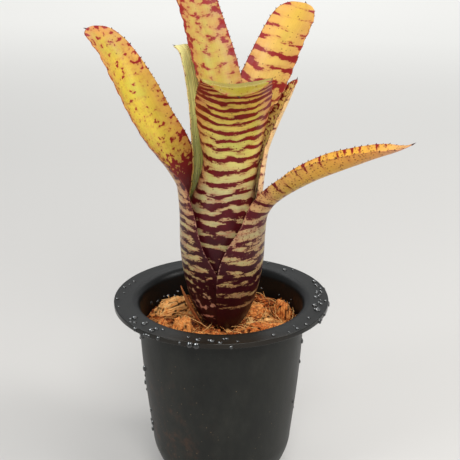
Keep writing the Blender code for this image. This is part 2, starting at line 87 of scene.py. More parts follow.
# Each leaf: azimuth, layer (0 is the outermost), whether it follows the tube's lean, sheath rows (height
# above the medium, half angle) and blade rows (out, height, channel radius, half angle, roll), as in the CAD.
LEAVES = {
    "leaf_right_low": dict(
        azimuth=-25, layer=0, leans=False, tip=16,
        sheath=[(0.3, 74), (8, 74), (17, 73), (30, 72), (37, 70), (44, 65), (51, 57)],
        blade=[
            (22.3, 60, 17, 49, 0), (25.5, 66.5, 12.5, 63, 0), (31, 72, 10.5, 76, 0),
            (39.5, 78.2, 10, 82, 0), (51, 85.0, 10, 80, 0), (62, 90.4, 9.5, 74, 0),
            (72.5, 95.2, 9, 64, 0), (81, 99.0, 8, 50, 0), (86.5, 101.8, 6, 36, 0),
            (89.5, 103.6, 4.5, 24, 0),
        ],
    ),
    "leaf_left": dict(
        azimuth=175, layer=1, leans=False, tip=10,
        sheath=[(0.3, 99), (8, 99), (17, 98), (30, 95), (37, 88), (44, 76), (51, 67), (58, 61), (66, 57)],
        blade=[
            (20.3, 74, 19, 54, 4), (23.2, 82.5, 19, 52, 12), (28, 91.5, 19, 51, 20), (34, 101, 19, 50, 24),
            (40, 113, 19, 49, 25), (45.2, 124.2, 18.5, 46, 25), (50.6, 135, 17, 42, 25),
            (55.6, 141.8, 15, 38, 24), (60.5, 146.4, 13, 34, 22),
        ],
    ),
    "leaf_right_back": dict(
        azimuth=12, layer=2, leans=False, tip=9,
        sheath=[(0.3, 62), (20, 62), (40, 58), (58, 54)],
        blade=[
            (19.2, 65, 18, 48, 0), (20.2, 74, 16, 48, 0), (21.2, 82, 14, 50, 0), (22.8, 90.5, 12, 52, 0),
            (25, 97, 11, 53, 0), (28.8, 106.5, 10.5, 52, 0), (31.6, 112.5, 10, 48, 0), (36.2, 123, 8, 38, 0),
        ],
    ),
    "leaf_left_back": dict(
        azimuth=148, layer=2, leans=False, tip=4.5,
        sheath=[(0.3, 58), (20, 58), (40, 54), (58, 48)],
        blade=[
            (16.6, 66, 15, 44, 0), (14.6, 75, 13, 45, 0), (13.6, 85, 11.5, 46, 0), (14.0, 94, 10.5, 47, 0),
            (15.2, 106, 9.5, 48, 0), (17.2, 121, 9, 48, 0), (19.0, 130, 8.5, 48, 0), (21.2, 135.5, 8, 46, 0),
            (24.4, 137.6, 7.5, 44, 0),
        ],
    ),
    "leaf_front": dict(
        azimuth=-87, layer=3, leans=True, tip=12,
        sheath=[(0.3, 118), (20, 110), (40, 102), (58, 97), (72, 95), (86, 92)],
        blade=[
            (14.0, 96, 15.0, 84, 0), (16.2, 105, 17.5, 69, 0), (19.8, 113, 21, 54, 0),
            (24.2, 120, 26, 39, 0), (29, 125.2, 34, 27, 0), (34, 127.8, 40, 22, 0),
            (38.5, 127.6, 42, 20, 0), (43, 125.0, 42, 18.5, 0),
        ],
    ),
    "leaf_right_tall": dict(
        azimuth=46, layer=4, leans=True, tip=13,
        sheath=[(0.3, 114), (20, 106), (40, 98), (58, 91), (72, 86), (86, 79)],
        blade=[
            (12.9, 97, 12.5, 74, 0), (15.8, 104.5, 13.5, 66, -4), (20.8, 112.5, 15.5, 54, -10),
            (26.8, 123.5, 17.5, 44, -16), (33.3, 134, 18, 39, -20), (40.3, 143, 18, 37, -20),
            (46.8, 150, 17.5, 35, -18), (52.0, 154.2, 16, 34, -16),
        ],
    ),
    "leaf_back_tall": dict(
        azimuth=122, layer=5, leans=True, tip=14,
        sheath=[(0.3, 110), (20, 104), (40, 98), (58, 92), (72, 87), (86, 81)],
        blade=[
            (10.9, 98, 11, 76, 0), (12.2, 110, 12.5, 64, 0), (15.5, 121, 14.5, 54, 0), (20, 131, 16, 48, 0),
            (25.5, 141.5, 16.5, 44, 0), (31.5, 152, 16.5, 42, 0), (37.5, 162, 16, 41, 0),
            (44, 171.5, 15, 40, 0),
        ],
    ),
    "leaf_young_centre": dict(
        azimuth=-20, layer=6, leans=True, tip=9,
        sheath=[(0.3, 112), (20, 122), (40, 130), (58, 136), (72, 138), (86, 136)],
        blade=[(9.0, 93, 8.8, 126, 0), (8.8, 99, 8.2, 108, 0), (8.9, 104, 7.8, 92, 0)],
    ),
    "basal_scale": dict(
        azimuth=193, layer=-1, leans=False, tip=9,
        sheath=[(0.3, 34), (5, 32), (12, 27), (17, 22)],
        blade=[(18.9, 20, 20, 18, 0), (20.2, 25, 21, 12, 0)],
    ),
}

# ---------------------------------------------------------------- how each leaf is coloured

# Rows run from a leaf's foot (0) to its tip (1). "period" is the spacing of its cross bands in mm. "outer"
# and "inner" are the share of each face that pigment covers at its middle, and "rim_outer" and "rim_inner"
# what the margin adds to that. "wave" is how strongly the bands show and "specks" the share of cells with a
# dark dot. "blots" and "round" say how far spots take the place of bands on the inner and outer face, and
# "blot" is their size in mm. "skin_outer" and "skin_inner" are the ground colours, sRGB 0-255, with some
# "green" in patches, a "blush" towards the blade's margins ("inner_blush" is its share on the inner face),
# red streaks ("hair") and veins ("ribs"). A key that a leaf leaves out has its usual value in leaf_material.
# The outer ground colours of leaf_front, leaf_right_low and leaf_left darken low on the sheath: partly their own
# colour and partly painted shade inside the pot.
LOOKS = {
    "leaf_front": dict(
        seed=3, wave=0.36, specks=0.10, green=0.42, blots=0.6, blush=0.72, inner_blush=0.1,
        period=[(0, 5.5), (0.35, 5.6), (0.6, 5.2), (0.8, 3.9), (0.9, 2.9), (1, 2.3)],
        outer=[(0, 1.3), (0.10, 1.2), (0.16, 0.78), (0.3, 0.66), (0.42, 0.56), (0.5, 0.46), (0.75, 0.44),
               (0.84, 0.52), (0.92, 0.54), (1, 0.5)],
        rim_outer=[(0, 0.1), (0.6, 0.12), (1, 0.16)],
        inner=[(0, 0.3), (0.6, 0.15), (0.85, 0.05), (1, 0.0)],
        rim_inner=[(0, 0.1), (0.9, 0.3), (1, 0.4)],
        skin_outer=[(0, (140, 124, 76)), (0.3, (160, 154, 104)), (0.5, (178, 170, 120)),
                    (0.64, (208, 194, 106)), (0.78, (226, 196, 84)), (0.9, (220, 172, 84)), (1, (214, 164, 88))],
        skin_inner=[(0, (160, 156, 70)), (0.7, (154, 146, 40)), (1, (148, 130, 36))],
    ),
    "leaf_left": dict(
        seed=11, wave=0.20, specks=0.12, green=0.34, blots=1.0, blush=0.42, blot=2.5,
        round=[(0, 0.9), (0.2, 0.8), (0.26, 0.1), (0.4, 0.1), (0.5, 0.6), (1, 0.6)],
        period=[(0, 6), (0.3, 4.6), (0.5, 4.2), (1, 4)],
        outer=[(0, 1.1), (0.03, 0.80), (0.06, 0.60), (0.12, 0.58), (0.19, 0.64), (0.24, 0.52), (0.36, 0.46),
               (0.45, 0.42), (0.55, 0.36), (1, 0.3)],
        rim_outer=[(0, 0.3), (0.2, 0.3), (0.35, 0.34), (0.5, 0.2), (1, 0.1)],
        # Full inner cover at shares 0.40-0.47 is partly the throat's own dark pigment and partly painted shade deep
        # in the throat.
        inner=[(0, 0.5), (0.40, 1.0), (0.47, 1.0), (0.51, 0.66), (0.56, 0.42), (0.62, 0.34), (0.7, 0.31),
               (0.85, 0.31), (1, 0.34)],
        rim_inner=[(0, 0.2), (0.5, 0.22), (0.7, 0.10), (1, 0.16)],
        skin_outer=[(0, (190, 132, 116)), (0.12, (190, 146, 122)), (0.2, (176, 168, 112)), (0.38, (184, 172, 118)),
                    (0.46, (206, 178, 126)), (0.6, (210, 160, 104)), (1, (206, 150, 84))],
        skin_inner=[(0, (190, 186, 110)), (0.45, (206, 182, 100)), (0.55, (202, 178, 72)),
                    (0.8, (206, 182, 62)), (0.95, (206, 166, 66)), (1, (198, 146, 72))],
    ),
    "leaf_right_low": dict(
        seed=23, wave=0.26, specks=0.9, green=0.08, blots=0.0, blush=0.2, hair=0.16,
        period=[(0, 6.4), (0.4, 6.2), (0.6, 4.0), (1, 4.2)],
        outer=[(0, 1.3), (0.09, 1.15), (0.13, 0.70), (0.18, 0.62), (0.26, 0.60), (0.34, 0.54), (0.38, 0.44),
               (0.42, 0.34), (0.46, 0.52), (0.52, 0.36), (0.7, 0.2), (1, 0.1)],
        rim_outer=[(0, 0.1), (0.4, 0.1), (0.6, 0.12), (0.9, 0.2), (1, 0.0)],
        inner=[(0, 0.3), (0.6, 0.2), (0.8, 0.2), (1, 0.1)],
        rim_inner=[(0, 0.1), (0.7, 0.22), (0.9, 0.3), (1, 0.1)],
        skin_outer=[(0, (130, 114, 70)), (0.15, (148, 138, 84)), (0.3, (164, 152, 100)), (0.44, (168, 154, 110)),
                    (0.5, (206, 168, 110)), (0.58, (206, 166, 78)), (0.75, (216, 162, 58)), (0.9, (226, 156, 74)),
                    (1, (214, 160, 140))],
        skin_inner=[(0, (200, 190, 110)), (0.5, (226, 190, 90)), (0.8, (240, 190, 66)), (1, (240, 180, 90))],
    ),
    "leaf_right_back": dict(
        seed=31, wave=0.3, specks=0.5, green=0.1, blots=1.0, blush=0.08, hair=0.12, blot=1.9,
        period=[(0, 5), (1, 4.2)],
        outer=[(0, 1.0), (0.2, 0.7), (0.5, 0.56), (0.6, 0.32), (0.75, 0.18), (1, 0.14)],
        rim_outer=[(0, 0.1), (0.6, 0.05), (1, 0.1)],
        inner=[(0, 0.4), (0.8, 0.40), (1, 0.36)],
        rim_inner=[(0, 0.1), (1, 0.3)],
        skin_outer=[(0, (160, 150, 110)), (0.5, (222, 214, 190)), (0.7, (244, 208, 146)), (1, (240, 200, 128))],
        skin_inner=[(0, (250, 224, 140)), (0.6, (255, 226, 120)), (1, (255, 220, 120))],
    ),
    "leaf_left_back": dict(
        seed=41, wave=0.15, specks=0.12, green=0.3, blots=1.0, blush=0.05, ribs=2.4,
        period=[(0, 6), (1, 6)],
        outer=[(0, 1.0), (0.3, 0.5), (0.55, 0.25), (0.8, 0.12), (1, 0.2)],
        rim_outer=[(0, 0.1), (1, 0.25)],
        inner=[(0, 0.3), (1, 0.0)],
        rim_inner=[(0, 0.1), (1, 0.1)],
        skin_outer=[(0, (120, 110, 60)), (0.5, (196, 176, 76)), (0.75, (232, 204, 128)), (1, (238, 212, 148))],
        skin_inner=[(0, (160, 160, 80)), (0.5, (206, 206, 100)), (0.75, (224, 226, 140)), (1, (232, 226, 150))],
    ),
    "leaf_right_tall": dict(
        seed=57, wave=0.46, specks=0.2, green=0.12, blots=0.0, blush=0.3,
        period=[(0, 5), (0.6, 6.6), (0.85, 6.8), (1, 5)],
        outer=[(0, 1.0), (0.3, 0.5), (0.7, 0.42), (1, 0.4)],
        rim_outer=[(0, 0.1), (1, 0.2)],
        inner=[(0, 0.5), (0.5, 0.42), (0.66, 0.40), (0.8, 0.36), (0.88, 0.14), (1, 0.0)],
        rim_inner=[(0, 0.1), (0.7, 0.2), (0.84, 0.22), (0.92, 0.2), (1, 0.4)],
        skin_outer=[(0, (160, 150, 100)), (0.5, (210, 190, 130)), (0.75, (220, 176, 116)), (1, (214, 160, 84))],
        skin_inner=[(0, (200, 190, 110)), (0.6, (220, 180, 96)), (0.8, (214, 174, 88)), (1, (212, 172, 66))],
    ),
    "leaf_back_tall": dict(
        seed=71, wave=0.22, specks=0.15, green=0.45, blots=0.75, blush=0.3, blot=4.3,
        period=[(0, 5), (0.6, 7), (1, 6)],
        outer=[(0, 1.0), (0.3, 0.5), (0.7, 0.45), (1, 0.45)],
        rim_outer=[(0, 0.1), (1, 0.2)],
        inner=[(0, 0.5), (0.55, 0.3), (0.64, 0.34), (0.75, 0.39), (0.85, 0.40), (0.93, 0.44), (1, 0.40)],
        rim_inner=[(0, 0.1), (0.6, 0.16), (0.8, 0.20), (1, 0.24)],
        skin_outer=[(0, (160, 150, 100)), (0.5, (205, 190, 110)), (0.75, (208, 168, 96)), (1, (200, 150, 84))],
        skin_inner=[(0, (186, 178, 90)), (0.6, (188, 166, 68)), (0.75, (182, 160, 74)), (0.9, (186, 154, 82)),
                    (1, (182, 138, 74))],
    ),
    "leaf_young_centre": dict(
        seed=83, wave=0.25, specks=0.2, green=0.4, blots=0.5, blush=0.2,
        period=[(0, 5), (1, 4)],
        outer=[(0, 0.9), (0.4, 0.4), (1, 0.3)],
        rim_outer=[(0, 0.1), (1, 0.3)],
        inner=[(0, 0.3), (1, 0.2)],
        rim_inner=[(0, 0.1), (1, 0.3)],
        skin_outer=[(0, (170, 165, 100)), (1, (200, 184, 80))],
        skin_inner=[(0, (180, 180, 90)), (1, (206, 188, 80))],
    ),
}

# Pigment from the foot to the tip, sRGB: dark wine at the base, brick red at the tips.
PIGMENT = [(0, (36, 1, 8)), (0.3, (50, 2, 15)), (0.5, (80, 6, 20)), (0.7, (116, 12, 18)), (1, (130, 20, 12))]
SPINE_BROWN = (58, 20, 14)

LEAF_STEP = 1.0  # mm between rows of a leaf's mesh
LEAF_COLUMNS = 72
SPINE_SPACING = 3.1  # mm between marginal spines
SPINE_LENGTH = 0.8  # mm
TIP_LENGTH = 1.5  # mm, the point at a leaf's tip

# ---------------------------------------------------------------- small helpers


def srgb(red, green, blue):
    """Linear colour from sRGB 0-255."""
    linear = []
    for value in (red, green, blue):
        value /= 255
        linear.append(value / 12.92 if value <= 0.04045 else ((value + 0.055) / 1.055) ** 2.4)
    return (*linear, 1.0)


def smooth_value(rows, x):
    """Monotone cubic interpolation through (x, value) rows, held at both ends."""
    if x <= rows[0][0]:
        return rows[0][1]
    if x >= rows[-1][0]:
        return rows[-1][1]
    xs = [row[0] for row in rows]
    ys = [row[1] for row in rows]
    steps = [(ys[i + 1] - ys[i]) / (xs[i + 1] - xs[i]) for i in range(len(xs) - 1)]
    slopes = [steps[0]]
    for before, after in zip(steps, steps[1:]):
        slopes.append(0.0 if before * after <= 0 else 2 * before * after / (before + after))
    slopes.append(steps[-1])
    i = max(k for k in range(len(xs) - 1) if xs[k] <= x)
    width = xs[i + 1] - xs[i]
    t = (x - xs[i]) / width
    return (
        (2 * t**3 - 3 * t**2 + 1) * ys[i]
        + (t**3 - 2 * t**2 + t) * width * slopes[i]
        + (3 * t**2 - 2 * t**3) * ys[i + 1]
        + (t**3 - t**2) * width * slopes[i + 1]
    )


def level(rows, shares):
    """Straight-line interpolation of (share, value) rows."""
    return np.interp(shares, [row[0] for row in rows], [row[1] for row in rows])


def placed(name, data):
    made = bpy.data.objects.new(name, data)
    bpy.context.scene.collection.objects.link(made)
    return made


def evaluated(made):
    """The mesh that an object's modifiers make."""
    return bpy.data.meshes.new_from_object(made.evaluated_get(bpy.context.evaluated_depsgraph_get()))


def mesh_object(name, points, faces, finish, smooth_angle=60):
    mesh = bpy.data.meshes.new(name)
    mesh.from_pydata([tuple(p) for p in points], [], [tuple(f) for f in faces])
    mesh.validate()
    mesh.materials.append(finish)
    mesh.shade_smooth()
    mesh.set_sharp_from_angle(angle=math.radians(smooth_angle))
    return placed(name, mesh)


def point_values(made, name, values):
    """Stores one number, or one vector, for each point of the mesh, for its material to read."""
    values = np.asarray(values, np.float32)
    kind, field = ("FLOAT", "value") if values.ndim == 1 else ("FLOAT_VECTOR", "vector")
    layer = made.data.attributes.new(name, kind, "POINT")
    layer.data.foreach_set(field, values.reshape(-1))


def take(piece, *nodes, slot):
    """Hands a finished piece to the frame: it rides on the part's one body in place of these CAD nodes."""
    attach(piece, "root")
    if nodes:
        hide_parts(*nodes)


class Value:
    """A number that a material works out at each point. Its sums and products are nodes of the material."""

    def __init__(self, recipe, socket):
        self.recipe, self.socket = recipe, socket

    def __add__(self, other):
        return self.recipe.maths("ADD", self, other)

    def __mul__(self, other):
        return self.recipe.maths("MULTIPLY", self, other)

    def __rsub__(self, other):
        return self.recipe.maths("SUBTRACT", other, self)

    def __sub__(self, other):
        return self.recipe.maths("SUBTRACT", self, other)

    __radd__, __rmul__ = __add__, __mul__


class Recipe:
    """A material's node tree, built one value at a time."""

    def __init__(self, name):
        self.material = bpy.data.materials.new(name)
        self.material.use_nodes = True
        self.tree = self.material.node_tree
        self.shader = self.tree.nodes["Principled BSDF"]

    def feed(self, socket, value):
        if isinstance(value, Value):
            value = value.socket
        if isinstance(value, bpy.types.NodeSocket):
            self.tree.links.new(value, socket)
        else:
            socket.default_value = value

    def node(self, kind, inputs=None, **settings):
        made = self.tree.nodes.new(kind)
        for key, value in settings.items():
            setattr(made, key, value)
        for key, value in (inputs or {}).items():
            self.feed(made.inputs[key], value)
        return made

    def value(self, kind, inputs=None, output=0, **settings):
        return Value(self, self.node(kind, inputs, **settings).outputs[output])

    def maths(self, operation, *values):
        return self.value("ShaderNodeMath", dict(enumerate(values)), operation=operation)

    def stored(self, name):
        return self.value("ShaderNodeAttribute", output="Fac", attribute_name=name)

    def stored_vector(self, name):
        return self.node("ShaderNodeAttribute", attribute_name=name).outputs["Vector"]

    def place(self):
        return self.node("ShaderNodeTexCoord").outputs["Object"]

    def axes(self, vector):
        parts = self.node("ShaderNodeSeparateXYZ", {"Vector": vector})
        return [Value(self, parts.outputs[axis]) for axis in "XYZ"]

    def pattern(self, kind, vector, size, **inputs):
        """A texture node whose features have this size along each axis of the vector."""
        scale = [1 / length for length in size]
        scaled = self.node("ShaderNodeVectorMath", {0: vector, 1: scale}, operation="MULTIPLY").outputs[0]
        return self.node(kind, {"Vector": scaled, "Scale": 1.0, **inputs})

    def cloud(self, vector, size, detail=2.0, roughness=0.5):
        """Noise around 0."""
        made = self.pattern("ShaderNodeTexNoise", vector, size, Detail=detail, Roughness=roughness)
        return Value(self, made.outputs["Fac"]) - 0.5

    def cells(self, vector, size, channel):
        """The distance from the middle of the nearest cell, and a random number that the cell has to itself."""
        made = self.pattern("ShaderNodeTexVoronoi", vector, size)
        chance = self.value("ShaderNodeSeparateColor", {"Color": made.outputs["Color"]}, channel)
        return Value(self, made.outputs["Distance"]), chance

    def fade(self, value, low, high):
        """0 below low, 1 above high, and smooth between."""
        inputs = {"Value": value, "From Min": low, "From Max": high}
        return self.value("ShaderNodeMapRange", inputs, "Result", interpolation_type="SMOOTHSTEP")

    def ramp(self, value, stops):
        made = self.node("ShaderNodeValToRGB", {"Fac": value})
        points = made.color_ramp.elements
        while len(points) < len(stops):
            points.new(0.5)
        for point, (at, colour) in zip(points, stops):
            point.position = at
            point.color = srgb(*colour)
        return made.outputs["Color"]

    def blend(self, share, first, second):
        """A colour between two, which are colours of this material or sRGB 0-255."""
        first, second = (srgb(*each) if isinstance(each, tuple) else each for each in (first, second))
        return self.node("ShaderNodeMix", {0: share, 6: first, 7: second}, data_type="RGBA").outputs[2]

    def mix(self, share, first, second):
        return self.value("ShaderNodeMix", {0: share, 2: first, 3: second}, data_type="FLOAT")

    def shade(self, colour, amount):
        """The colour made lighter or darker by a share around 0."""
        inputs = {"Color": colour, "Value": amount + 1.0}
        return self.node("ShaderNodeHueSaturation", inputs).outputs["Color"]

    def relief(self, height, distance, strength=1.0):
        bump = self.node("ShaderNodeBump", {"Height": height, "Distance": distance, "Strength": strength})
        self.feed(self.shader.inputs["Normal"], bump.outputs["Normal"])

    def finish(self, colour, roughness, **fixed):
        self.feed(self.shader.inputs["Base Color"], colour)
        self.feed(self.shader.inputs["Roughness"], roughness)
        for key, value in fixed.items():
            self.shader.inputs[key.replace("_", " ")].default_value = value
        return self.material


class Pile:
    """Points and faces gathered from many small pieces, with what is stored at each point."""

    def __init__(self, *keys):
        self.points, self.faces = [], []
        self.stored = {key: [] for key in keys}

    def add(self, points, faces, **values):
        start = len(self.points)
        self.points += points
        self.faces += [tuple(start + k for k in face) for face in faces]
        for key, value in values.items():
            self.stored[key] += value if isinstance(value, list) else [value] * len(points)

    def made(self, name, finish, smooth_angle=80):
        made = mesh_object(name, self.points, self.faces, finish, smooth_angle)
        for key, values in self.stored.items():
            point_values(made, key, values)
        return made


def circle(radius, height, sides):
    turns = [2 * math.pi * k / sides for k in range(sides)]
    return [(radius * math.cos(turn), radius * math.sin(turn), height) for turn in turns]


def ring_walls(first, sides, rings):
    """Faces between each ring of points and the next, where the rings follow one another from this point."""
    faces = []
    for low in range(first, first + (rings - 1) * sides, sides):
        for k in range(sides):
            after = (k + 1) % sides
            faces.append((low + k, low + after, low + sides + after, low + sides + k))
    return faces


def turned(rings, bottom, top):
    """Points and faces of a solid: rings of points between one point at its bottom and one at its top."""
    sides = len(rings[0])
    points = [bottom, top] + [point for ring in rings for point in ring]
    faces = ring_walls(2, sides, len(rings))
    last = len(points) - sides
    for k in range(sides):
        after = (k + 1) % sides
        faces += [(0, 2 + after, 2 + k), (1, last + k, last + after)]
    return points, faces


# ---------------------------------------------------------------- leaves: shape


def tube_radius(height):
    return smooth_value(TUBE_PROFILE, height)


def sheath_point(height, layer):
    """(radius, height above the medium) of a sheath's outer face, set in from the outermost by its layer."""
    step = 0.2
    slope = (tube_radius(height + step) - tube_radius(height - step)) / (2 * step)
    inward = layer * (LAYER_PITCH / MM) / math.hypot(1, slope)
    return tube_radius(height) - inward, height + inward * slope


def sheath_foot(layer):
    height = TUBE_PROFILE[0][0]
    while True:
        radius, above = sheath_point(height, layer)
        if radius >= SHEATH_FOOT_RADIUS / MM and above >= 0.3:
            return height
        height += 0.05


def leaf_stations(leaf):
    """Stations [out, height, channel radius, half angle, roll, upright share] along a leaf, and their lengths."""
    foot = sheath_foot(leaf["layer"])
    top = leaf["sheath"][-1][0]
    rows = []
    for height in [foot] + [h for h in SHEATH_ROWS if foot + 1 < h <= top]:
        radius, above = sheath_point(height, leaf["layer"])
        rows.append((radius, above, radius, smooth_value(leaf["sheath"], height), 0.0, 1.0))
    sheath_count = len(rows)
    rows += [(*row, 0.0) for row in leaf["blade"]]
    length = [0.0]
    for before, after in zip(rows, rows[1:]):
        length.append(length[-1] + math.hypot(after[0] - before[0], after[1] - before[1]))
    whole, tip = length[-1], leaf["tip"]
    count = math.ceil((whole - tip) / LEAF_STEP)
    places = [(whole - tip) * k / count for k in range(count)]
    rounding = math.ceil(tip / LEAF_STEP) + 6
    places += [whole - tip * (1 - k / rounding) ** 1.6 for k in range(rounding + 1)]
    columns = [[(s, row[i]) for s, row in zip(length, rows)] for i in range(6)]
    stations = []
    for s in places:
        row = [smooth_value(column, s) for column in columns]
        left = min(1.0, (whole - s) / tip)
        row[3] *= max(0.04, (1 - (1 - left) ** 2.2) ** (1 / 2.2))
        stations.append(row)
    return np.array(stations), np.array(places), length[sheath_count - 1]


def unit(vectors):
    return vectors / np.maximum(np.linalg.norm(vectors, axis=-1, keepdims=True), 1e-12)


class Sheet:
    """A leaf as a grid of points from foot to tip and from edge to edge, with its own measurements."""

    def __init__(self, leaf, seed):
        turn = math.radians(leaf["azimuth"])
        outward = np.array([math.cos(turn), math.sin(turn), 0.0])
        across = np.array([-math.sin(turn), math.cos(turn), 0.0])
        stations, self.along, sheath_length = leaf_stations(leaf)
        out, height, channel, half, roll, upright = stations.T
        share = np.clip((height * MM - LEAN_FROM) / (LEAN_TO - LEAN_FROM), 0, 1)
        lean = LEAN * share**2 * (3 - 2 * share) * (1 if leaf["leans"] else 0)
        spine = outward * out[:, None] * MM
        spine[:, 0] += lean
        spine[:, 2] += MEDIUM_LEVEL + height * MM
        forward = unit(np.gradient(spine, axis=0))
        facing = unit(np.cross(forward, across))
        facing = unit(facing * (1 - upright[:, None]) - outward * upright[:, None])
        side = unit(unit(np.cross(facing, forward)) * (1 - upright[:, None]) + across * upright[:, None])
        lift = np.radians(roll)[:, None]
        up = facing * np.cos(lift) + side * np.sin(lift)
        side = side * np.cos(lift) - facing * np.sin(lift)
        self.across_share = np.linspace(-1, 1, LEAF_COLUMNS + 1)
        angle = np.radians(half)[:, None] * self.across_share
        bow, reach = (1 - np.cos(angle))[..., None], np.sin(angle)[..., None]
        self.outer = spine[:, None] + (up[:, None] * bow + side[:, None] * reach) * channel[:, None, None] * MM
        self.share = self.along / self.along[-1]
        self.across = angle * channel[:, None]  # mm from the midline, round the leaf
        self.edge = np.abs(angle[:, -1:]) * channel[:, None] - np.abs(self.across)  # mm from the margin
        self.height = height
        self.seed = seed
        # 0 on the sheath and 1 on the free blade.
        self.free = np.clip((self.along - sheath_length - 4) / 20, 0, 1)
        self.settle()

    def inward(self):
        rows = np.gradient(self.outer, axis=0)
        columns = np.gradient(self.outer, axis=1)
        return unit(np.cross(rows, columns))

    def settle(self):
        """Lets the free blade's margins ripple and its face wander a little, then gives it its thickness."""
        inward = self.inward()
        near_edge = np.abs(self.across_share) ** 4
        sides = np.sign(self.across_share)
        ripple = np.sin(self.along[:, None] / 7.3 * 2 * math.pi + sides * 1.9 + self.seed) * near_edge * 0.22
        ripple += np.sin(self.along[:, None] / 3.4 * 2 * math.pi + sides * 0.7) * near_edge * 0.10
        wander = np.zeros_like(ripple)
        for i, along in enumerate(self.along):
            for j in range(0, LEAF_COLUMNS + 1, 6):
                wander[i, j] = noise.noise(Vector((self.across[i, j] / 11, along / 17, self.seed))) * 0.45
        coarse = np.arange(0, LEAF_COLUMNS + 1, 6)
        for i in range(len(self.along)):
            wander[i] = np.interp(np.arange(LEAF_COLUMNS + 1), coarse, wander[i, coarse])
        shift = (ripple + wander) * self.free[:, None]
        narrow = np.clip((self.edge.max(axis=1) - 1.5) / 3, 0, 1)[:, None]
        self.outer = self.outer + inward * (shift * narrow * MM)[..., None]
        inward = self.inward()
        middle = LEAF_THICKNESS * (1 + 0.25 * self.free[:, None])
        thickness = middle * (0.30 + 0.70 * np.clip(self.edge / 3.2, 0, 1) ** 0.6)
        self.inner = self.outer + inward * np.minimum(thickness, LEAF_THICKNESS * 1.25)[..., None]
        self.inner_normal = inward

    def surface(self):
        """Points, faces and measurements of the closed sheet."""
        rows, columns = self.outer.shape[:2]
        index = np.arange(rows * columns).reshape(rows, columns)
        other = index + rows * columns
        faces = []

        def quads(a, b, c, d):
            faces.extend(np.stack([a, b, c, d], -1).reshape(-1, 4).tolist())

        quads(index[:-1, :-1], index[:-1, 1:], index[1:, 1:], index[1:, :-1])
        quads(other[:-1, :-1], other[1:, :-1], other[1:, 1:], other[:-1, 1:])
        quads(index[:-1, 0], index[1:, 0], other[1:, 0], other[:-1, 0])
        quads(index[1:, -1], index[:-1, -1], other[:-1, -1], other[1:, -1])
        quads(index[0, 1:], index[0, :-1], other[0, :-1], other[0, 1:])
        quads(index[-1, :-1], index[-1, 1:], other[-1, 1:], other[-1, :-1])
        points = np.concatenate([self.outer.reshape(-1, 3), self.inner.reshape(-1, 3)])
        return points, faces

    def measures(self, look):
        """What the material reads at each point: place, share of the length, side, edge, cover and phase."""
        rows, columns = self.outer.shape[:2]
        share = np.repeat(self.share[:, None], columns, 1)
        along = np.repeat(self.along[:, None], columns, 1)
        place = np.stack([self.across, along, np.full_like(share, self.seed)], -1)
        phase = np.cumsum(np.gradient(self.along) / level(look["period"], self.share))
        covers = []
        for face in ("outer", "inner"):
            rim = np.clip(1 - self.edge / 5.5, 0, 1) ** 1.3
            middle = level(look[face], self.share)[:, None]
            covers.append(middle + rim * level(look["rim_" + face], self.share)[:, None])
        return {
            "leaf_place": np.concatenate([place.reshape(-1, 3), place.reshape(-1, 3) + (40.0, 0, 9.0)]),
            "leaf_share": np.tile(share.reshape(-1), 2),
            "leaf_side": np.repeat([0.0, 1.0], rows * columns),
            "leaf_edge": np.tile(self.edge.reshape(-1), 2),
            "leaf_cover": np.concatenate([cover.reshape(-1) for cover in covers]),
            "leaf_phase": np.tile(np.repeat(phase, columns), 2),
            "leaf_free": np.tile(np.repeat(self.free, columns), 2),
            "leaf_round": np.concatenate([
                np.repeat(level(look.get("round", [(0, 0), (1, 0)]), self.share), columns),
                np.full(rows * columns, look["blots"]),
            ]),
        }


def spine_points(base, forward, outward, normal, length):
    """A marginal spine: a flattened hook that leans towards the leaf's tip. Rings of six points and an apex."""
    points = []
    for lift, size, lean in ((-0.35, 1.0, 0.0), (0.12, 0.72, 0.06), (0.5, 0.36, 0.3)):
        for k in range(6):
            turn = 2 * math.pi * k / 6
            points.append(
                base
                + outward * length * lift
                + forward * length * (lean + 0.62 * size * math.cos(turn))
                + normal * length * 0.24 * size * math.sin(turn)
            )
    points.append(base + outward * length * 0.92 + forward * length * 0.72)
    faces = []
    for ring in (0, 6):
        for k in range(6):
            after = (k + 1) % 6
            faces.append((ring + k, ring + after, ring + 6 + after, ring + 6 + k))
    faces += [(12 + k, 12 + (k + 1) % 6, 18) for k in range(6)]
    faces.append((5, 4, 3, 2, 1, 0))
    return points, faces


def leaf_spines(sheet, chooser):
    """Spines along both margins of the free blade and a short point at the leaf's tip."""
    spines = Pile("row")
    outer = sheet.outer

    def grow(row, column, forward, outward, length):
        base = Vector((outer[row, column] + sheet.inner[row, column]) / 2)
        forward, outward = Vector(forward).normalized(), Vector(outward).normalized()
        normal = Vector(sheet.inner_normal[row, column])
        spines.add(*spine_points(base, forward, outward, normal, length), row=row)

    last, middle = len(sheet.along) - 1, LEAF_COLUMNS // 2
    for column, neighbour in ((0, 1), (-1, -2)):
        at = sheet.along[np.argmax(sheet.free > 0)] - 4
        while at < sheet.along[-1] - 1.2:
            row = min(max(int(np.argmin(np.abs(sheet.along - at))), 1), last - 1)
            forward = outer[row + 1, column] - outer[row - 1, column]
            outward = outer[row, column] - outer[row, neighbour]
            grow(row, column, forward, outward, SPINE_LENGTH * MM * chooser.uniform(0.6, 1.1))
            at += SPINE_SPACING * chooser.uniform(0.8, 1.25)
    across, along = outer[last, -1] - outer[last, 0], outer[last, middle] - outer[last - 4, middle]
    grow(last, middle, across, along, TIP_LENGTH * MM)
    return spines


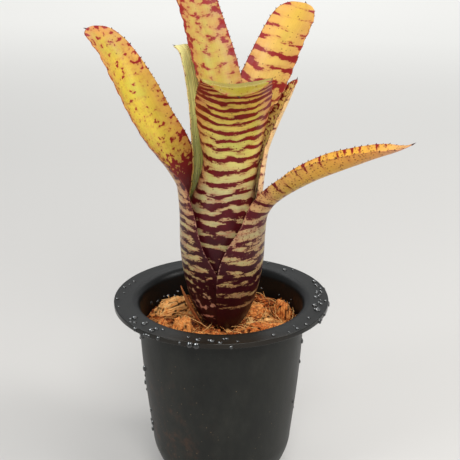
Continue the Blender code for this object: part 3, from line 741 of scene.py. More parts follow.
def make_leaf(name):
    look = LOOKS[name]
    sheet = Sheet(LEAVES[name], look["seed"])
    points, faces = sheet.surface()
    values = sheet.measures(look)
    spines = leaf_spines(sheet, random.Random(look["seed"]))
    start, count = len(points), len(spines.points)
    faces += [tuple(start + k for k in face) for face in spines.faces]
    points = np.concatenate([points, np.array([tuple(p) for p in spines.points])])
    made = mesh_object(name + "_skin", points, faces, leaf_material(name, look), 70)
    for key, array in values.items():
        if array.ndim == 2:
            extra = np.tile(array[0], (count, 1))
        elif key == "leaf_share":
            extra = sheet.share[spines.stored["row"]]
        else:
            extra = np.zeros(count)
        point_values(made, key, np.concatenate([array, extra]))
    point_values(made, "leaf_spine", np.concatenate([np.zeros(start), np.ones(count)]))
    take(made, name, slot="leaf_skin")


# ---------------------------------------------------------------- leaves: material


def leaf_material(name, look):
    made = Recipe(name)
    place = made.stored_vector("leaf_place")
    share, side, edge, free, spotty = (
        made.stored("leaf_" + key) for key in ("share", "side", "edge", "free", "round")
    )

    # Cross bands: a wave along the leaf, wandering and broken up by noise drawn out across it. Where the leaf
    # is spotty, blots take the wave's place.
    wander = made.cloud(place, (17, 24, 1)) * 1.8
    shiver = made.cloud(place, (5, 10, 1.3)) * 0.38
    wave = made.maths("SINE", (made.stored("leaf_phase") + wander + shiver) * (2 * math.pi))
    wave = made.mix(spotty, wave * look["wave"], wave * 0.05)
    blot_size = look.get("blot", 3.4)
    streak = made.cloud(place, (8.5, 1.9, 1.7))
    blot = made.cloud(place, (blot_size, 0.82 * blot_size, 1.9), 1)
    streak = made.mix(spotty, streak, blot) * 1.7
    ragged = made.cloud(place, (1.1, 0.6, 2.1), 3, 0.6) * made.mix(spotty, 0.70, 0.30)
    value = wave + streak + ragged + (made.stored("leaf_cover") - 0.5) * 1.6
    band = made.fade(value, -0.08, 0.10)
    halo = made.fade(value, -0.40, 0.05)

    # Faint red streaks beside the bands, thin and drawn out across the leaf.
    hair = made.fade(made.cloud(place, (7, 0.62, 3.1)), 0.02, 0.12) * made.fade(value, -0.75, -0.15)
    hair = hair * (1 - side * 0.8)

    # Specks: a small dark dot in some of the cells.
    distance, chance = made.cells(place, (1.25, 1.25, 1), 0)
    speck = (1 - made.fade(distance, 0.20, 0.36)) * made.maths("LESS_THAN", chance, look["specks"])

    # Ground: the face's own colour, mottled, with fine veins along the leaf.
    ground = made.blend(side, made.ramp(share, look["skin_outer"]), made.ramp(share, look["skin_inner"]))
    mottle = made.cloud(place, (6, 9, 3), 3)
    veins = made.cloud(place, (0.55, 26, 3), 2, 0.6)
    green = made.fade(made.cloud(place, (14, 20, 5)), -0.02, 0.16) * made.fade(share, 0.35, 0.6)
    ground = made.blend(green * look["green"], ground, (160, 172, 72))
    ground = made.shade(ground, mottle * 0.34 + veins * look.get("ribs", 0.26))
    outside = (1 - side) * made.fade(share, 0.3, 0.5)
    open_share = made.maths("MAXIMUM", free * look.get("inner_blush", 1.0), outside)
    flank = (1 - made.fade(edge, 1.0, 11.0)) * open_share
    ground = made.blend(flank * look["blush"], ground, (204, 122, 88))
    haze = made.fade(made.cloud(place, (7, 3.4, 6), 3), -0.06, 0.14) * 0.36
    ground = made.blend(haze * (1 - made.fade(share, 0.42, 0.66)), ground, (122, 84, 78))
    ground = made.blend(halo * 0.36, ground, (180, 88, 70))
    ground = made.blend(hair * look.get("hair", 0.42), ground, (150, 50, 40))

    pigment = made.shade(made.ramp(share, PIGMENT), mottle * 1.2)
    pigment = made.blend(side * 0.45, pigment, (156, 34, 40))
    colour = made.blend(speck * 0.7, ground, (104, 38, 26))
    colour = made.blend(band * 0.985, colour, pigment)

    # A thin dry margin: straw on the sheath and brick red on the free blade.
    margin = 1 - made.fade(edge, 0.25, 0.75)
    torn = made.fade(made.cloud(place, (3, 1.6, 1)), -0.04, 0.10) * made.fade(share, 0.16, 0.34)
    dry = made.blend(free, (204, 150, 128), (142, 58, 30))
    colour = made.blend(margin * torn * 0.55, colour, dry)
    colour = made.blend(made.stored("leaf_spine"), colour, SPINE_BROWN)

    made.relief(veins + band * 0.18 + made.cloud(place, (0.5, 0.5, 1)) * 0.35, 0.12 * MM, 0.6)
    return made.finish(colour, 0.33 + mottle * 0.5 + band * 0.05, Specular_IOR_Level=0.18)


def dry_material():
    """The withered scale at the plant's foot: papery, brown and split along its length."""
    made = Recipe("dry_scale")
    place = made.stored_vector("leaf_place")
    strands = made.cloud(place, (0.6, 14, 1), 3, 0.6)
    blotch = made.cloud(place, (5, 6, 1), 3)
    browns = [(0.1, (84, 38, 18)), (0.45, (166, 92, 46)), (0.75, (208, 134, 76)), (1, (232, 184, 124))]
    colour = made.ramp(0.5 + strands * 0.9 + blotch * 0.9, browns)
    colour = made.blend(made.fade(made.stored("leaf_share"), 0.0, 0.4), (74, 28, 20), colour)
    made.relief(strands + blotch * 0.5, 0.25 * MM, 0.9)
    return made.finish(colour, 0.75 + strands * 0.4, Specular_IOR_Level=0.3)


def make_scale():
    look = dict(LOOKS["leaf_front"], seed=97)
    sheet = Sheet(LEAVES["basal_scale"], look["seed"])
    points, faces = sheet.surface()
    made = mesh_object("basal_scale_skin", points, faces, dry_material(), 70)
    for key, array in sheet.measures(look).items():
        point_values(made, key, array)
    take(made, "basal_scale", slot="dry_leaf")


# ---------------------------------------------------------------- pot


def wall_radius(height):
    if height >= SHOULDER_HEIGHT:
        share = (height - SHOULDER_HEIGHT) / (POT_HEIGHT - SHOULDER_HEIGHT)
        return SHOULDER_RADIUS + (NECK_RADIUS - SHOULDER_RADIUS) * share + 0.9 * MM * math.sin(math.pi * share)
    share = 1 - height / SHOULDER_HEIGHT
    return SHOULDER_RADIUS - (SHOULDER_RADIUS - BASE_RADIUS) * share**FOOT_CURVE


def rounded(outline, corner, steps=4):
    """The closed outline with each corner cut back by up to this radius and rounded."""
    points = [Vector(p) for p in outline]
    made = []
    for k, point in enumerate(points):
        if k in (0, len(points) - 1):
            made.append(tuple(point))
            continue
        before, after = points[k - 1] - point, points[k + 1] - point
        if before.length < 1e-9 or after.length < 1e-9 or before.angle(after) > math.radians(165):
            made.append(tuple(point))
            continue
        reach = min(corner, before.length * 0.45, after.length * 0.45)
        start, end = point + before.normalized() * reach, point + after.normalized() * reach
        for i in range(steps + 1):
            t = i / steps
            made.append(tuple(start * (1 - t) ** 2 + point * 2 * t * (1 - t) + end * t**2))
    return made


def lathe(outline, sides):
    """Points and faces of an outline of (radius, height) that starts and ends on the axis."""
    rings = [circle(radius, height, sides) for radius, height in outline[1:-1]]
    return turned(rings, (0.0, 0.0, outline[0][1]), (0.0, 0.0, outline[-1][1]))


def pot_outline():
    under = POT_HEIGHT - FLANGE_THICKNESS
    body_top = under - FLANGE_ROLL
    inner_wall = NECK_RADIUS - POT_WALL
    flange_start = inner_wall + FLANGE_ROLL
    foot_ring = BASE_RADIUS - 3.2 * MM
    outline = [(0, 0.9 * MM), (foot_ring - 0.6 * MM, 0.9 * MM), (foot_ring, 0), (BASE_RADIUS - 0.6 * MM, 0)]
    outline += [(wall_radius(z), z) for z in np.linspace(0.9 * MM, SHOULDER_HEIGHT, 14)]
    outline += [(wall_radius(z), z) for z in np.linspace(SHOULDER_HEIGHT, body_top, 24)[1:]]
    outline += [
        (NECK_RADIUS + 0.5 * MM, under - FLANGE_ROLL * 0.5),
        (NECK_RADIUS + 1.1 * MM, under - FLANGE_ROLL * 0.22),
        (NECK_RADIUS + 2.4 * MM, under),
        (RIM_RADIUS - FLANGE_THICKNESS, under),
        (RIM_RADIUS - FLANGE_THICKNESS, POT_HEIGHT - LIP_DROP),
        (RIM_RADIUS, POT_HEIGHT - LIP_DROP),
        (RIM_RADIUS, POT_HEIGHT - 0.05 * MM),
    ]
    # The flange's top dishes very slightly between its two edges.
    for share in (0.12, 0.3, 0.55, 0.8):
        radius = RIM_RADIUS - (RIM_RADIUS - flange_start) * share
        outline.append((radius, POT_HEIGHT - 0.30 * MM * math.sin(math.pi * share)))
    for k in range(9):
        turn = math.pi / 2 * k / 8
        radius = flange_start - FLANGE_ROLL * math.sin(turn)
        outline.append((radius, POT_HEIGHT - FLANGE_ROLL * (1 - math.cos(turn))))
    outline += [(wall_radius(z) - POT_WALL, z) for z in np.linspace(body_top, SHOULDER_HEIGHT, 20)[1:]]
    outline += [(wall_radius(z) - POT_WALL, z) for z in np.linspace(SHOULDER_HEIGHT, 3.4 * MM, 9)[1:]]
    outline += [(wall_radius(POT_FLOOR) - POT_WALL - 1.2 * MM, POT_FLOOR), (0, POT_FLOOR)]
    return outline


def pot_material():
    made = Recipe("nursery_pot_plastic")
    place = made.place()
    x, y, z = made.axes(place)
    clouds = made.cloud(place, (18 * MM, 18 * MM, 30 * MM), 4, 0.6)
    grain = made.cloud(place, (0.5 * MM, 0.5 * MM, 0.5 * MM))
    scuffs = made.cloud(place, (4 * MM, 4 * MM, 9 * MM), 4, 0.65)
    blacks = [(0.2, (20, 21, 20)), (0.5, (30, 31, 28)), (0.8, (42, 42, 38))]
    colour = made.ramp(0.5 + clouds * 0.9 + scuffs * 0.5, blacks)

    # Dust and peat stains: brown film low on one side, with fine specks all round.
    low = 1 - made.fade(z, 30 * MM, 85 * MM)
    left = 1 - made.fade(x, -26 * MM, 2 * MM)
    film = low * left * made.fade(made.cloud(place, (6 * MM, 6 * MM, 7 * MM), 5, 0.7), -0.02, 0.20)
    colour = made.blend(film * 0.36, colour, (96, 60, 40))
    distance, chance = made.cells(place, (1.7 * MM, 1.7 * MM, 2.1 * MM), 1)
    dusty = low * 0.22 * (1 - made.fade(x, -10 * MM, 25 * MM))
    some = made.maths("LESS_THAN", chance, 0.08 + dusty + film * 0.45)
    below_rim = 1 - made.fade(z, 75 * MM, 94 * MM)
    speck = (1 - made.fade(distance, 0.08, 0.18)) * some * below_rim
    colour = made.blend(speck * 0.5, colour, (122, 102, 78))

    # The rim's top is painted darker, a painted shade that holds back the overhead light, with a brown film on its
    # front.
    rim_top = made.fade(z, POT_HEIGHT - 4 * MM, POT_HEIGHT - 1.5 * MM)
    front = 1 - made.fade(y, -52 * MM, -34 * MM)
    colour = made.blend(rim_top * 0.55, colour, (18, 19, 19))
    colour = made.blend(rim_top * front * 0.30, colour, (46, 34, 20))

    # Painted shade inside the neck: the inner wall is painted near black. A point is inside if it stands nearer the
    # axis than the middle of the wall, once the wall's taper and the roll at its top are taken away.
    radius = made.maths("SQRT", x * x + y * y)
    taper = (POT_HEIGHT - 5 * MM - z) * WALL_TAPER
    roll = made.fade(z, POT_HEIGHT - 5.5 * MM, POT_HEIGHT - 3 * MM) * (-3 * MM)
    outside = made.fade(radius + taper + roll, NECK_RADIUS - 1.2 * MM, NECK_RADIUS - 0.4 * MM)
    inside = (1 - outside) * made.fade(z, MEDIUM_LEVEL - 12 * MM, MEDIUM_LEVEL - 6 * MM)
    colour = made.blend(inside * 0.85, colour, (4, 5, 5))

    worn = made.fade(radius, RIM_RADIUS - 2 * MM, RIM_RADIUS - 0.3 * MM)
    rough = 0.44 + clouds * 0.35 + speck * 0.25 + rim_top * -0.06 + worn * -0.16
    made.relief(grain + scuffs * 0.8 + speck, 0.06 * MM, 0.5)
    return made.finish(colour, rough, Specular_IOR_Level=0.24)


def make_pot():
    points, faces = lathe(rounded(pot_outline(), 0.5 * MM), 192)
    shell = mesh_object("pot_shell", points, faces, pot_material(), 35)
    drills = []
    for k in range(DRAIN_HOLES):
        turn = 2 * math.pi * (k + 0.5) / DRAIN_HOLES
        bpy.ops.mesh.primitive_cylinder_add(
            vertices=48,
            radius=DRAIN_RADIUS,
            depth=8 * POT_FLOOR,
            location=(DRAIN_CIRCLE * math.cos(turn), DRAIN_CIRCLE * math.sin(turn), 0),
        )
        drills.append(bpy.context.object)
        cut = shell.modifiers.new("drain", "BOOLEAN")
        cut.operation = "DIFFERENCE"
        cut.solver = "MANIFOLD"
        cut.object = drills[-1]
    drilled = evaluated(shell)
    shell.modifiers.clear()
    shell.data = drilled
    for drill in drills:
        bpy.data.objects.remove(drill)
    drilled.set_sharp_from_angle(angle=math.radians(35))
    take(shell, "pot", slot="black_plastic")


# ---------------------------------------------------------------- coir, chips, crumbs and fibres


# Banks of coir round the plant and against the wall, in mm: how high, how far from the axis, how wide.
BANKS = [(3.6, 13, 8), (4.2, 40, 4.5)]


def bed_height(x, y):
    """Height of the coir's rough top, banked up round the plant and against the pot's wall."""
    place = Vector((x, y, 0)) / MM
    coarse = noise.noise(place / 6.5) * 1.3
    fine = noise.noise(place / 2.1 + Vector((7, 3, 1))) * 0.8
    bank = sum(high * math.exp(-(((place.length - out) / wide) ** 2)) for high, out, wide in BANKS)
    return MEDIUM_LEVEL + (coarse + fine + bank - 0.2) * MM


def husk_material(name, dark, middle, light, pale):
    """Husk: strands along the piece's grain, a colour of its own, painted shade in its pits and hollows, and pale
    torn ends.
    """
    made = Recipe(name)
    grain = made.stored_vector("grain")
    strands = made.cloud(grain, (7.0, 0.5, 0.5), 3, 0.6)
    blotch = made.cloud(grain, (3.6, 2.2, 2.2), 3, 0.55)
    crumbly = made.cloud(grain, (0.7, 0.55, 0.55))
    value = made.stored("tone") + strands * 1.25 + blotch * 0.75 + crumbly * 0.35
    colour = made.ramp(value, [(0.08, dark), (0.36, middle), (0.62, light), (0.95, pale)])
    # Painted shade: hollow_shade darkens pits, grooves, low flanks and undersides towards near black.
    colour = made.blend(made.fade(made.stored("hollow_shade"), 0.10, 0.8) * 0.9, colour, (32, 12, 5))
    made.relief(strands + crumbly * 0.7, 0.45 * MM, 0.9)
    return made.finish(colour, 0.82 + strands * 0.3, Specular_IOR_Level=0.25)


def grain_frame(chooser, heading):
    """Three unit vectors of a piece's grain: mostly level, in its own direction."""
    along = Vector((math.cos(heading), math.sin(heading), chooser.uniform(-0.25, 0.25))).normalized()
    across = along.cross(Vector((0, 0, 1))).normalized()
    return along, across, along.cross(across)


def remeshed(source, name, size):
    """A copy of the mesh as even quads of this size."""
    helper = placed(name, source.copy())
    remesh = helper.modifiers.new("even", "REMESH")
    remesh.mode = "VOXEL"
    remesh.voxel_size = size
    mesh = evaluated(helper)
    bpy.data.objects.remove(helper)
    return mesh


# Placed chips with a look of their own: base tone (0 dark, 1 pale), how pitted, which way the grain stands.
CHIP_LOOKS = {
    "husk_chip_01": dict(tone=0.78, pits=1.0, heading=35, upright=0.1),
    "husk_chip_02": dict(tone=0.55, pits=0.5, heading=100, upright=0.9),
    "husk_chip_03": dict(tone=0.44, pits=0.6, heading=90, upright=0.9),
    "husk_chip_04": dict(tone=0.38, pits=0.9, heading=-25, upright=0.25),
    "husk_chip_05": dict(tone=0.50, pits=0.8, heading=80, upright=0.0),
}


CHIP_GRID = 0.30 * MM  # the size of the quads of a chip's mesh
CHIP_DENT, CHIP_RISE = 2.2, 0.7  # mm, the most that its surface is moved in and out
CHIPS = []  # each finished chip, with the direction of its grain


def make_chip(number, finish):
    name = f"husk_chip_{number:02d}"
    chooser = random.Random(500 + number)
    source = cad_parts[name].data
    look = CHIP_LOOKS.get(
        name, dict(tone=chooser.uniform(0.20, 0.76), pits=chooser.uniform(0.1, 0.5), heading=chooser.uniform(0, 180))
    )
    along, across, up = grain_frame(chooser, math.radians(look["heading"]))
    if look.get("upright", 0) > 0.5:
        along, up = up, along
    mesh = remeshed(source, name, CHIP_GRID)
    mesh.materials.clear()
    mesh.materials.append(finish)
    shaper = bmesh.new()
    shaper.from_mesh(mesh)
    shaper.normal_update()
    lowest, highest = min(v.co.z for v in shaper.verts), max(v.co.z for v in shaper.verts)
    offset = Vector((number * 7.3, number * 3.1, number * 1.7))
    grain, hollow_shade, moved = [], [], []
    for vert in shaper.verts:
        place = Vector((vert.co.dot(along), vert.co.dot(across), vert.co.dot(up))) / MM
        strand = noise.noise(Vector((place.x / 9, place.y / 0.95, place.z / 0.95)) + offset)
        lump = noise.noise(place / 4.2 + offset)
        ledge = noise.noise(Vector((place.x / 9, place.y / 2.2, place.z / 2.2)) - offset)
        pit = max(0.0, noise.noise(place / 1.7 - offset) - 0.24) * 3.2 * look["pits"]
        depth = 0.75 * strand + 0.30 * lump + 0.1 + 0.8 * round(ledge * 3) / 3 - 1.6 * min(1.0, pit)
        depth = max(-CHIP_DENT, min(CHIP_RISE, depth))
        if vert.co.z < lowest + 0.6 * MM:
            depth = min(depth, 0.0) * 0.3
        moved.append(vert.co + vert.normal * depth * MM)
        grain.append(place + offset * 3)
        # Painted shade: pits, the grooves between strands and the chip's lower flanks are stored in hollow_shade for
        # the material to darken.
        sunk = 1.0 - (vert.co.z - lowest) / (highest - lowest)
        hollow_shade.append(min(1.0, pit * 1.1 + max(0.0, -strand) * 1.3 + max(0.0, sunk - 0.45) * 0.9))
    for vert, place in zip(shaper.verts, moved):
        vert.co = place
    shaper.to_mesh(mesh)
    shaper.free()
    mesh.shade_smooth()
    mesh.set_sharp_from_angle(angle=math.radians(75))
    made = placed(name + "_husk", mesh)
    point_values(made, "grain", grain)
    point_values(made, "hollow_shade", hollow_shade)
    point_values(made, "tone", np.full(len(grain), look["tone"]))
    take(made, name, slot="coconut_husk")
    CHIPS.append((made, along))


def make_bed(finish):
    """The coir: a body that fills the pot, with a rough top of crumbs and shreds."""
    sides, rings, foot = 220, 64, POT_FLOOR + 0.3 * MM
    wall = wall_radius(MEDIUM_LEVEL) - POT_WALL - 0.35 * MM
    profile = [(wall_radius(2.1 * MM) - POT_WALL - 2 * MM, foot)]
    for height in np.linspace(4 * MM, MEDIUM_LEVEL - 3 * MM, 10):
        profile.append((wall_radius(height) - POT_WALL - 0.5 * MM, height))
    layers = [circle(radius, height, sides) for radius, height in profile]
    for ring in range(rings):
        layers.append([(x, y, bed_height(x, y)) for x, y, _ in circle(wall * (1 - ring / rings), 0, sides)])
    points, faces = turned(layers, (0, 0, foot), (0, 0, bed_height(0, 0)))
    made = mesh_object("coir_bed", points, faces, finish, 80)
    points = np.array(points)
    point_values(made, "grain", points / MM)
    # Painted shade: the bed is darkened more the lower it lies, for the shade between the chips. Its low tone is
    # partly the coir's own dark colour and partly painted shade.
    point_values(made, "hollow_shade", np.clip((MEDIUM_LEVEL - points[:, 2]) / MM * 0.4 + 0.62, 0, 1))
    point_values(made, "tone", np.full(len(points), 0.16))
    take(made, "coir_medium", slot="coconut_husk")


CRUMBS, WALL_CHUNKS, LOOSE_FIBRES = 430, 40, 520


def open_ground(chooser, wall):
    """A random place on the coir between the plant and the wall."""
    out = math.sqrt(chooser.uniform(PLANT_CLEARANCE**2 * 0.45, wall**2))
    turn = chooser.uniform(0, 2 * math.pi)
    return out * math.cos(turn), out * math.sin(turn)


def make_crumbs(finish):
    """Small torn crumbs of husk between the chips."""
    chooser = random.Random(77)
    wall = wall_radius(MEDIUM_LEVEL) - POT_WALL - 2.2 * MM
    shape = bmesh.new()
    bmesh.ops.create_icosphere(shape, subdivisions=2, radius=1.0)
    ball = [v.co.copy() for v in shape.verts]
    triangles = [[v.index for v in f.verts] for f in shape.faces]
    shape.free()
    crumbs = Pile("grain", "hollow_shade", "tone")
    for number in range(CRUMBS):
        x, y = open_ground(chooser, wall)
        size = 0.4 + 1.8 * chooser.random() ** 2.4
        if number >= CRUMBS - WALL_CHUNKS:
            # Larger chunks that lean on the wall, all round except in front.
            turn, out = math.radians(chooser.uniform(-35, 215)), chooser.uniform(30, 35.5) * MM
            x, y, size = out * math.cos(turn), out * math.sin(turn), chooser.uniform(2.0, 3.2)
        long, flat = size * chooser.uniform(1.1, 2.0), size * chooser.uniform(0.35, 0.65)
        along, across, up = grain_frame(chooser, chooser.uniform(0, 2 * math.pi))
        middle = Vector((x, y, bed_height(x, y) + flat * 0.55 * MM + chooser.uniform(0, 0.9) * MM))
        seed = Vector((number * 1.3, number * 0.7, 4))
        own = chooser.uniform(0.12, 0.9)
        points, grain, hollow_shade = [], [], []
        for p in ball:
            rough = 1 + 0.55 * noise.noise(p * 1.7 + seed) + 0.25 * noise.noise(p * 4 + seed)
            q = Vector((p.x * long, p.y * size, p.z * flat)) * rough
            points.append(middle + (along * q.x + across * q.y + up * q.z) * MM)
            grain.append(q + seed * 5)
            # Painted shade: a crumb's dents and its underside are darkened through hollow_shade.
            hollow_shade.append(max(0.0, (1 - rough) * 1.3) + max(0.0, -p.z) * 0.4)
        crumbs.add(points, triangles, grain=grain, hollow_shade=hollow_shade, tone=own)
    take(crumbs.made("husk_crumbs", finish), slot="coconut_husk")


def tube(path, radii, sides=5):
    """Points and faces of a closed tube along a path."""
    points = []
    for k, (place, radius) in enumerate(zip(path, radii)):
        before, after = path[max(k - 1, 0)], path[min(k + 1, len(path) - 1)]
        forward = (after - before).normalized()
        side = forward.cross(Vector((0.13, 0.29, 0.95))).normalized()
        up = forward.cross(side)
        points += [place + side * x + up * y for x, y, _ in circle(radius, 0, sides)]
    last = (len(path) - 1) * sides
    ends = [tuple(reversed(range(sides))), tuple(range(last, last + sides))]
    return points, ring_walls(0, sides, len(path)) + ends


def chip_strands(chooser):
    """Paths of short fibres that lie along the grain of each chip and lift off it at their ends."""
    for piece, along in CHIPS:
        verts = piece.data.vertices
        for _ in range(max(14, len(verts) // 190)):
            vert = verts[chooser.randrange(len(verts))]
            if vert.normal.z < -0.1:
                continue
            flat = (along - vert.normal * along.dot(vert.normal)).normalized()
            length, lift = chooser.uniform(1.5, 6.0) * MM, chooser.uniform(0.0, 0.35)
            bend = vert.normal.cross(flat) * chooser.uniform(-0.3, 0.3)
            path = []
            for k in range(6):
                t = k / 5 - 0.4
                rise = vert.normal * (lift * max(t, 0) ** 2 + 0.02)
                path.append(vert.co + (flat * t + bend * t * t + rise) * length)
            yield path, chooser.uniform(0.09, 0.20) * MM


def make_fibres(finish):
    """Loose husk fibres that lie on the coir, stand out of it, and fray from the chips."""
    chooser = random.Random(91)
    wall = wall_radius(MEDIUM_LEVEL) - POT_WALL - 1.2 * MM
    fibres = Pile("grain", "hollow_shade", "tone")

    def add(path, thickness, number):
        points, faces = tube(path, [thickness * (1 - 0.55 * k / len(path)) for k in range(len(path))])
        grain = [Vector((k // 5 * 1.2, k % 5, number * 3.0)) for k in range(len(points))]
        fibres.add(points, faces, grain=grain, hollow_shade=0.0, tone=chooser.uniform(0.55, 1.05))

    for number, (path, thickness) in enumerate(chip_strands(chooser)):
        add(path, thickness, number + 1000)
    for number in range(LOOSE_FIBRES):
        x, y = open_ground(chooser, wall)
        length = chooser.uniform(5, 18) * MM
        heading, climb = chooser.uniform(0, 2 * math.pi), chooser.uniform(0.1, 1.25) ** 2
        curl, thickness = chooser.uniform(-1.8, 1.8), chooser.uniform(0.13, 0.30) * MM
        place = Vector((x, y, bed_height(x, y) + 0.2 * MM))
        path = [place.copy()]
        steps = 9
        for k in range(steps):
            heading += curl / steps + chooser.uniform(-0.18, 0.18)
            climb -= 0.16
            step = Vector((math.cos(heading), math.sin(heading), climb)).normalized() * length / steps
            place = place + step
            place.z = max(place.z, bed_height(place.x, place.y) + 0.1 * MM)
            if math.hypot(place.x, place.y) > wall_radius(place.z) - POT_WALL - 0.4 * MM:
                break
            path.append(place.copy())
        if len(path) > 3:
            add(path, thickness, number)
    take(fibres.made("husk_fibres", finish), slot="coconut_husk")


# ---------------------------------------------------------------- water drops

# Where drops sit: surface, azimuths in degrees, how many, and radius range in mm before DROP_SCALE.
DROP_PLACES = [
    ("flange", (-152, -118), 9, (0.5, 1.25)),
    ("flange", (-112, -78), 9, (0.5, 1.1)),
    ("flange", (-62, -30), 6, (0.4, 1.0)),
    ("flange", (-28, 22), 20, (0.5, 1.3)),
    ("flange", (150, 205), 7, (0.4, 0.8)),
    ("flange", (40, 120), 6, (0.4, 0.9)),
    ("lip", (-140, -85), 9, (0.5, 1.1)),
    ("lip", (-30, 15), 9, (0.5, 1.1)),
    ("body", (168, 200), 22, (0.5, 1.3)),
    ("body", (-22, 14), 10, (0.5, 1.1)),
    ("body", (40, 140), 18, (0.5, 1.2)),
    ("inside", (100, 160), 12, (0.4, 1.0)),
    ("inside", (20, 70), 5, (0.4, 0.8)),
]
DROP_SCALE = 1.3


def drop_seat(surface, azimuth, chooser):
    """A place on the pot and the direction that the surface faces there."""
    turn = math.radians(azimuth)
    outward = Vector((math.cos(turn), math.sin(turn), 0))
    if surface == "flange":
        radius = RIM_RADIUS - chooser.uniform(1.2, 6.8) * MM
        dish = 0.28 * MM * math.sin(math.pi * (RIM_RADIUS - radius) / (8 * MM))
        return outward * radius + Vector((0, 0, POT_HEIGHT - dish)), Vector((0, 0, 1))
    if surface == "lip":
        return outward * RIM_RADIUS + Vector((0, 0, POT_HEIGHT - chooser.uniform(0.9, 1.9) * MM)), outward
    if surface == "body":
        height = chooser.uniform(26, 90) * MM
        slope = (wall_radius(height + MM) - wall_radius(height - MM)) / (2 * MM)
        return outward * wall_radius(height) + Vector((0, 0, height)), (outward - Vector((0, 0, slope))).normalized()
    height = chooser.uniform(86, 92) * MM
    return outward * (wall_radius(height) - POT_WALL) + Vector((0, 0, height)), -outward


def water_material():
    """Water on black plastic: a dark bead, one painted glint and a painted paler far edge, both set by a fixed light
    direction.
    """
    made = Recipe("water")
    ripple = made.cloud(made.place(), (1.1 * MM, 1.1 * MM, 1.1 * MM), 1)
    painted_light_facing = made.stored("painted_light_facing")
    # Painted reflection: the side turned away from the light direction is painted paler, and the part facing it gets
    # a painted white glint.
    pale = made.fade(painted_light_facing, -0.35, -0.9) * 0.45 + ripple * 0.1
    colour = made.blend(pale, (16, 18, 18), (150, 158, 160))
    colour = made.blend(made.fade(painted_light_facing, 0.955, 0.985), colour, (225, 230, 232))
    made.relief(ripple, 0.03 * MM, 0.3)
    return made.finish(colour, 0.06 + ripple * 0.02, Specular_IOR_Level=0.9)


def make_drops():
    chooser = random.Random(19)
    drops = Pile("painted_light_facing")
    rings, sides = 7, 18
    last = 1 + (rings - 1) * sides
    # The fixed direction of the painted glint. Each point of a drop stores how far it faces it.
    painted_light_direction = Vector((-0.35, -0.45, 0.82)).normalized()
    faces = [(0, 1 + k, 1 + (k + 1) % sides) for k in range(sides)]
    faces += [tuple(reversed(face)) for face in ring_walls(1, sides, rings)]
    faces.append(tuple(last + k for k in reversed(range(sides))))
    for surface, (low, high), count, (small, large) in DROP_PLACES:
        for _ in range(count):
            seat, normal = drop_seat(surface, chooser.uniform(low, high), chooser)
            radius = DROP_SCALE * (small + (large - small) * chooser.random() ** 1.4) * MM
            tall = radius * chooser.uniform(0.55, 0.75)
            side = normal.orthogonal().normalized()
            other = normal.cross(side)
            sag = Vector((0, 0, -1)) * radius * (0.0 if surface == "flange" else 0.45)
            points, painted_light_facing = [seat + normal * tall], [normal.dot(painted_light_direction)]
            for ring in range(1, rings + 1):
                angle = math.pi / 2 * ring / rings
                lift = tall * math.cos(angle) - 0.06 * MM * (ring / rings) ** 4
                spread = radius * math.sin(angle) ** 0.9
                for x, y, _ in circle(1, 0, sides):
                    out = side * x + other * y
                    points.append(seat + normal * lift + out * spread + sag * (lift / tall))
                    painted_light_facing.append((normal * math.cos(angle) + out * math.sin(angle)).normalized().dot(painted_light_direction))
            drops.add(points, faces, painted_light_facing=painted_light_facing)
    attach(drops.made("water_drops", water_material(), 60), "root")


# ---------------------------------------------------------------- stem


def stem_material():
    """The short woody stem, which only shows where the sheaths part."""
    made = Recipe("stem_flesh")
    place = made.place()
    rings = made.cloud(place, (20 * MM, 20 * MM, 1.1 * MM), 3)
    scars = made.cloud(place, (1.2 * MM, 1.2 * MM, 4 * MM), 3)
    greens = [(0.2, (92, 70, 40)), (0.5, (150, 134, 84)), (0.85, (190, 180, 130))]
    made.relief(rings + scars, 0.2 * MM, 0.8)
    return made.finish(made.ramp(0.5 + rings + scars * 0.8, greens), 0.7 + scars * 0.3)


# ---------------------------------------------------------------- floor, light and camera

CAMERA_PLACE = (0.0, -0.40624, 0.27917)
CAMERA_FORWARD = (0.0099, 0.9418, -0.336)
CAMERA_FOCAL_PIXELS = 900.0
IMAGE_PIXELS = 460.0


def make_floor():
    made = Recipe("studio_floor")
    # Painted light: the sweep is paler far behind the pot than round it, and a little paler on the right, standing
    # in for how the studio light falls on it.
    place = made.place()
    x, y, _ = made.axes(place)
    tone = made.fade(y, -4.2, -2.0) + made.cloud(place, (0.6, 0.6, 0.6)) * 0.1 + x * 0.16
    colour = made.ramp(tone, [(0.0, (200, 198, 195)), (1.0, (240, 239, 235))])
    bpy.ops.mesh.primitive_plane_add(size=16, location=(0, 4, 0))
    floor = bpy.context.object
    floor.name = "studio_floor"
    floor.data.materials.append(made.finish(colour, 0.75, Specular_IOR_Level=0.2))


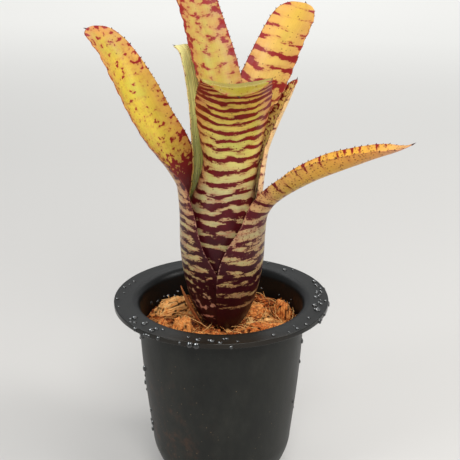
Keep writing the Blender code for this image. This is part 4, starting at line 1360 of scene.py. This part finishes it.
def soft_light(name, place, size, power, colour=(1, 1, 1), aim=(0, 0, 0.13)):
    data = bpy.data.lights.new(name, "AREA")
    data.shape = "RECTANGLE"
    data.size, data.size_y = size
    data.energy = power
    data.color = colour
    made = placed(name, data)
    made.location = place
    made.rotation_euler = (Vector(aim) - Vector(place)).to_track_quat("-Z", "Y").to_euler()


def make_studio():
    world = bpy.data.worlds.new("studio")
    world.use_nodes = True
    world.node_tree.nodes["Background"].inputs["Color"].default_value = (0.96, 0.98, 1.0, 1)
    world.node_tree.nodes["Background"].inputs["Strength"].default_value = 0.48
    bpy.context.scene.world = world
    soft_light("overhead_softbox", (0.35, -0.20, 1.20), (0.45, 0.45), 3.6)
    soft_light("front_softbox", (0.10, -0.95, 0.95), (0.6, 0.45), 8.5, (1.0, 0.99, 0.97))
    soft_light("right_softbox", (0.95, -0.25, 0.75), (0.3, 0.5), 4.0, (1.0, 0.98, 0.95))
    soft_light("left_softbox", (-0.85, -0.60, 0.7), (0.3, 0.5), 2.5, (0.97, 0.99, 1.0))
    soft_light("backdrop_softbox", (0.0, 2.6, 2.6), (4.0, 2.0), 60.0, aim=(0.0, 3.4, 0.0))
    bpy.context.scene.view_settings.view_transform = "Standard"


def make_camera():
    data = bpy.data.cameras.new("photo_view")
    data.sensor_width = 36.0
    data.lens = CAMERA_FOCAL_PIXELS * data.sensor_width / IMAGE_PIXELS
    data.clip_start, data.clip_end = 0.01, 50.0
    camera = placed("photo_view", data)
    camera.location = CAMERA_PLACE
    camera.rotation_euler = Vector(CAMERA_FORWARD).to_track_quat("-Z", "Y").to_euler()
    bpy.context.scene.camera = camera


def main():
    make_camera()
    make_studio()
    make_floor()
    make_pot()
    husk = husk_material("coconut_husk", (84, 36, 12), (200, 106, 44), (240, 160, 84), (250, 200, 128))
    make_bed(husk)
    for number in range(1, 26):
        make_chip(number, husk)
    make_crumbs(husk)
    make_fibres(husk)
    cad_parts["stem"].data.materials.clear()
    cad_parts["stem"].data.materials.append(stem_material())
    for name in LOOKS:
        make_leaf(name)
    make_scale()
    make_drops()


main()
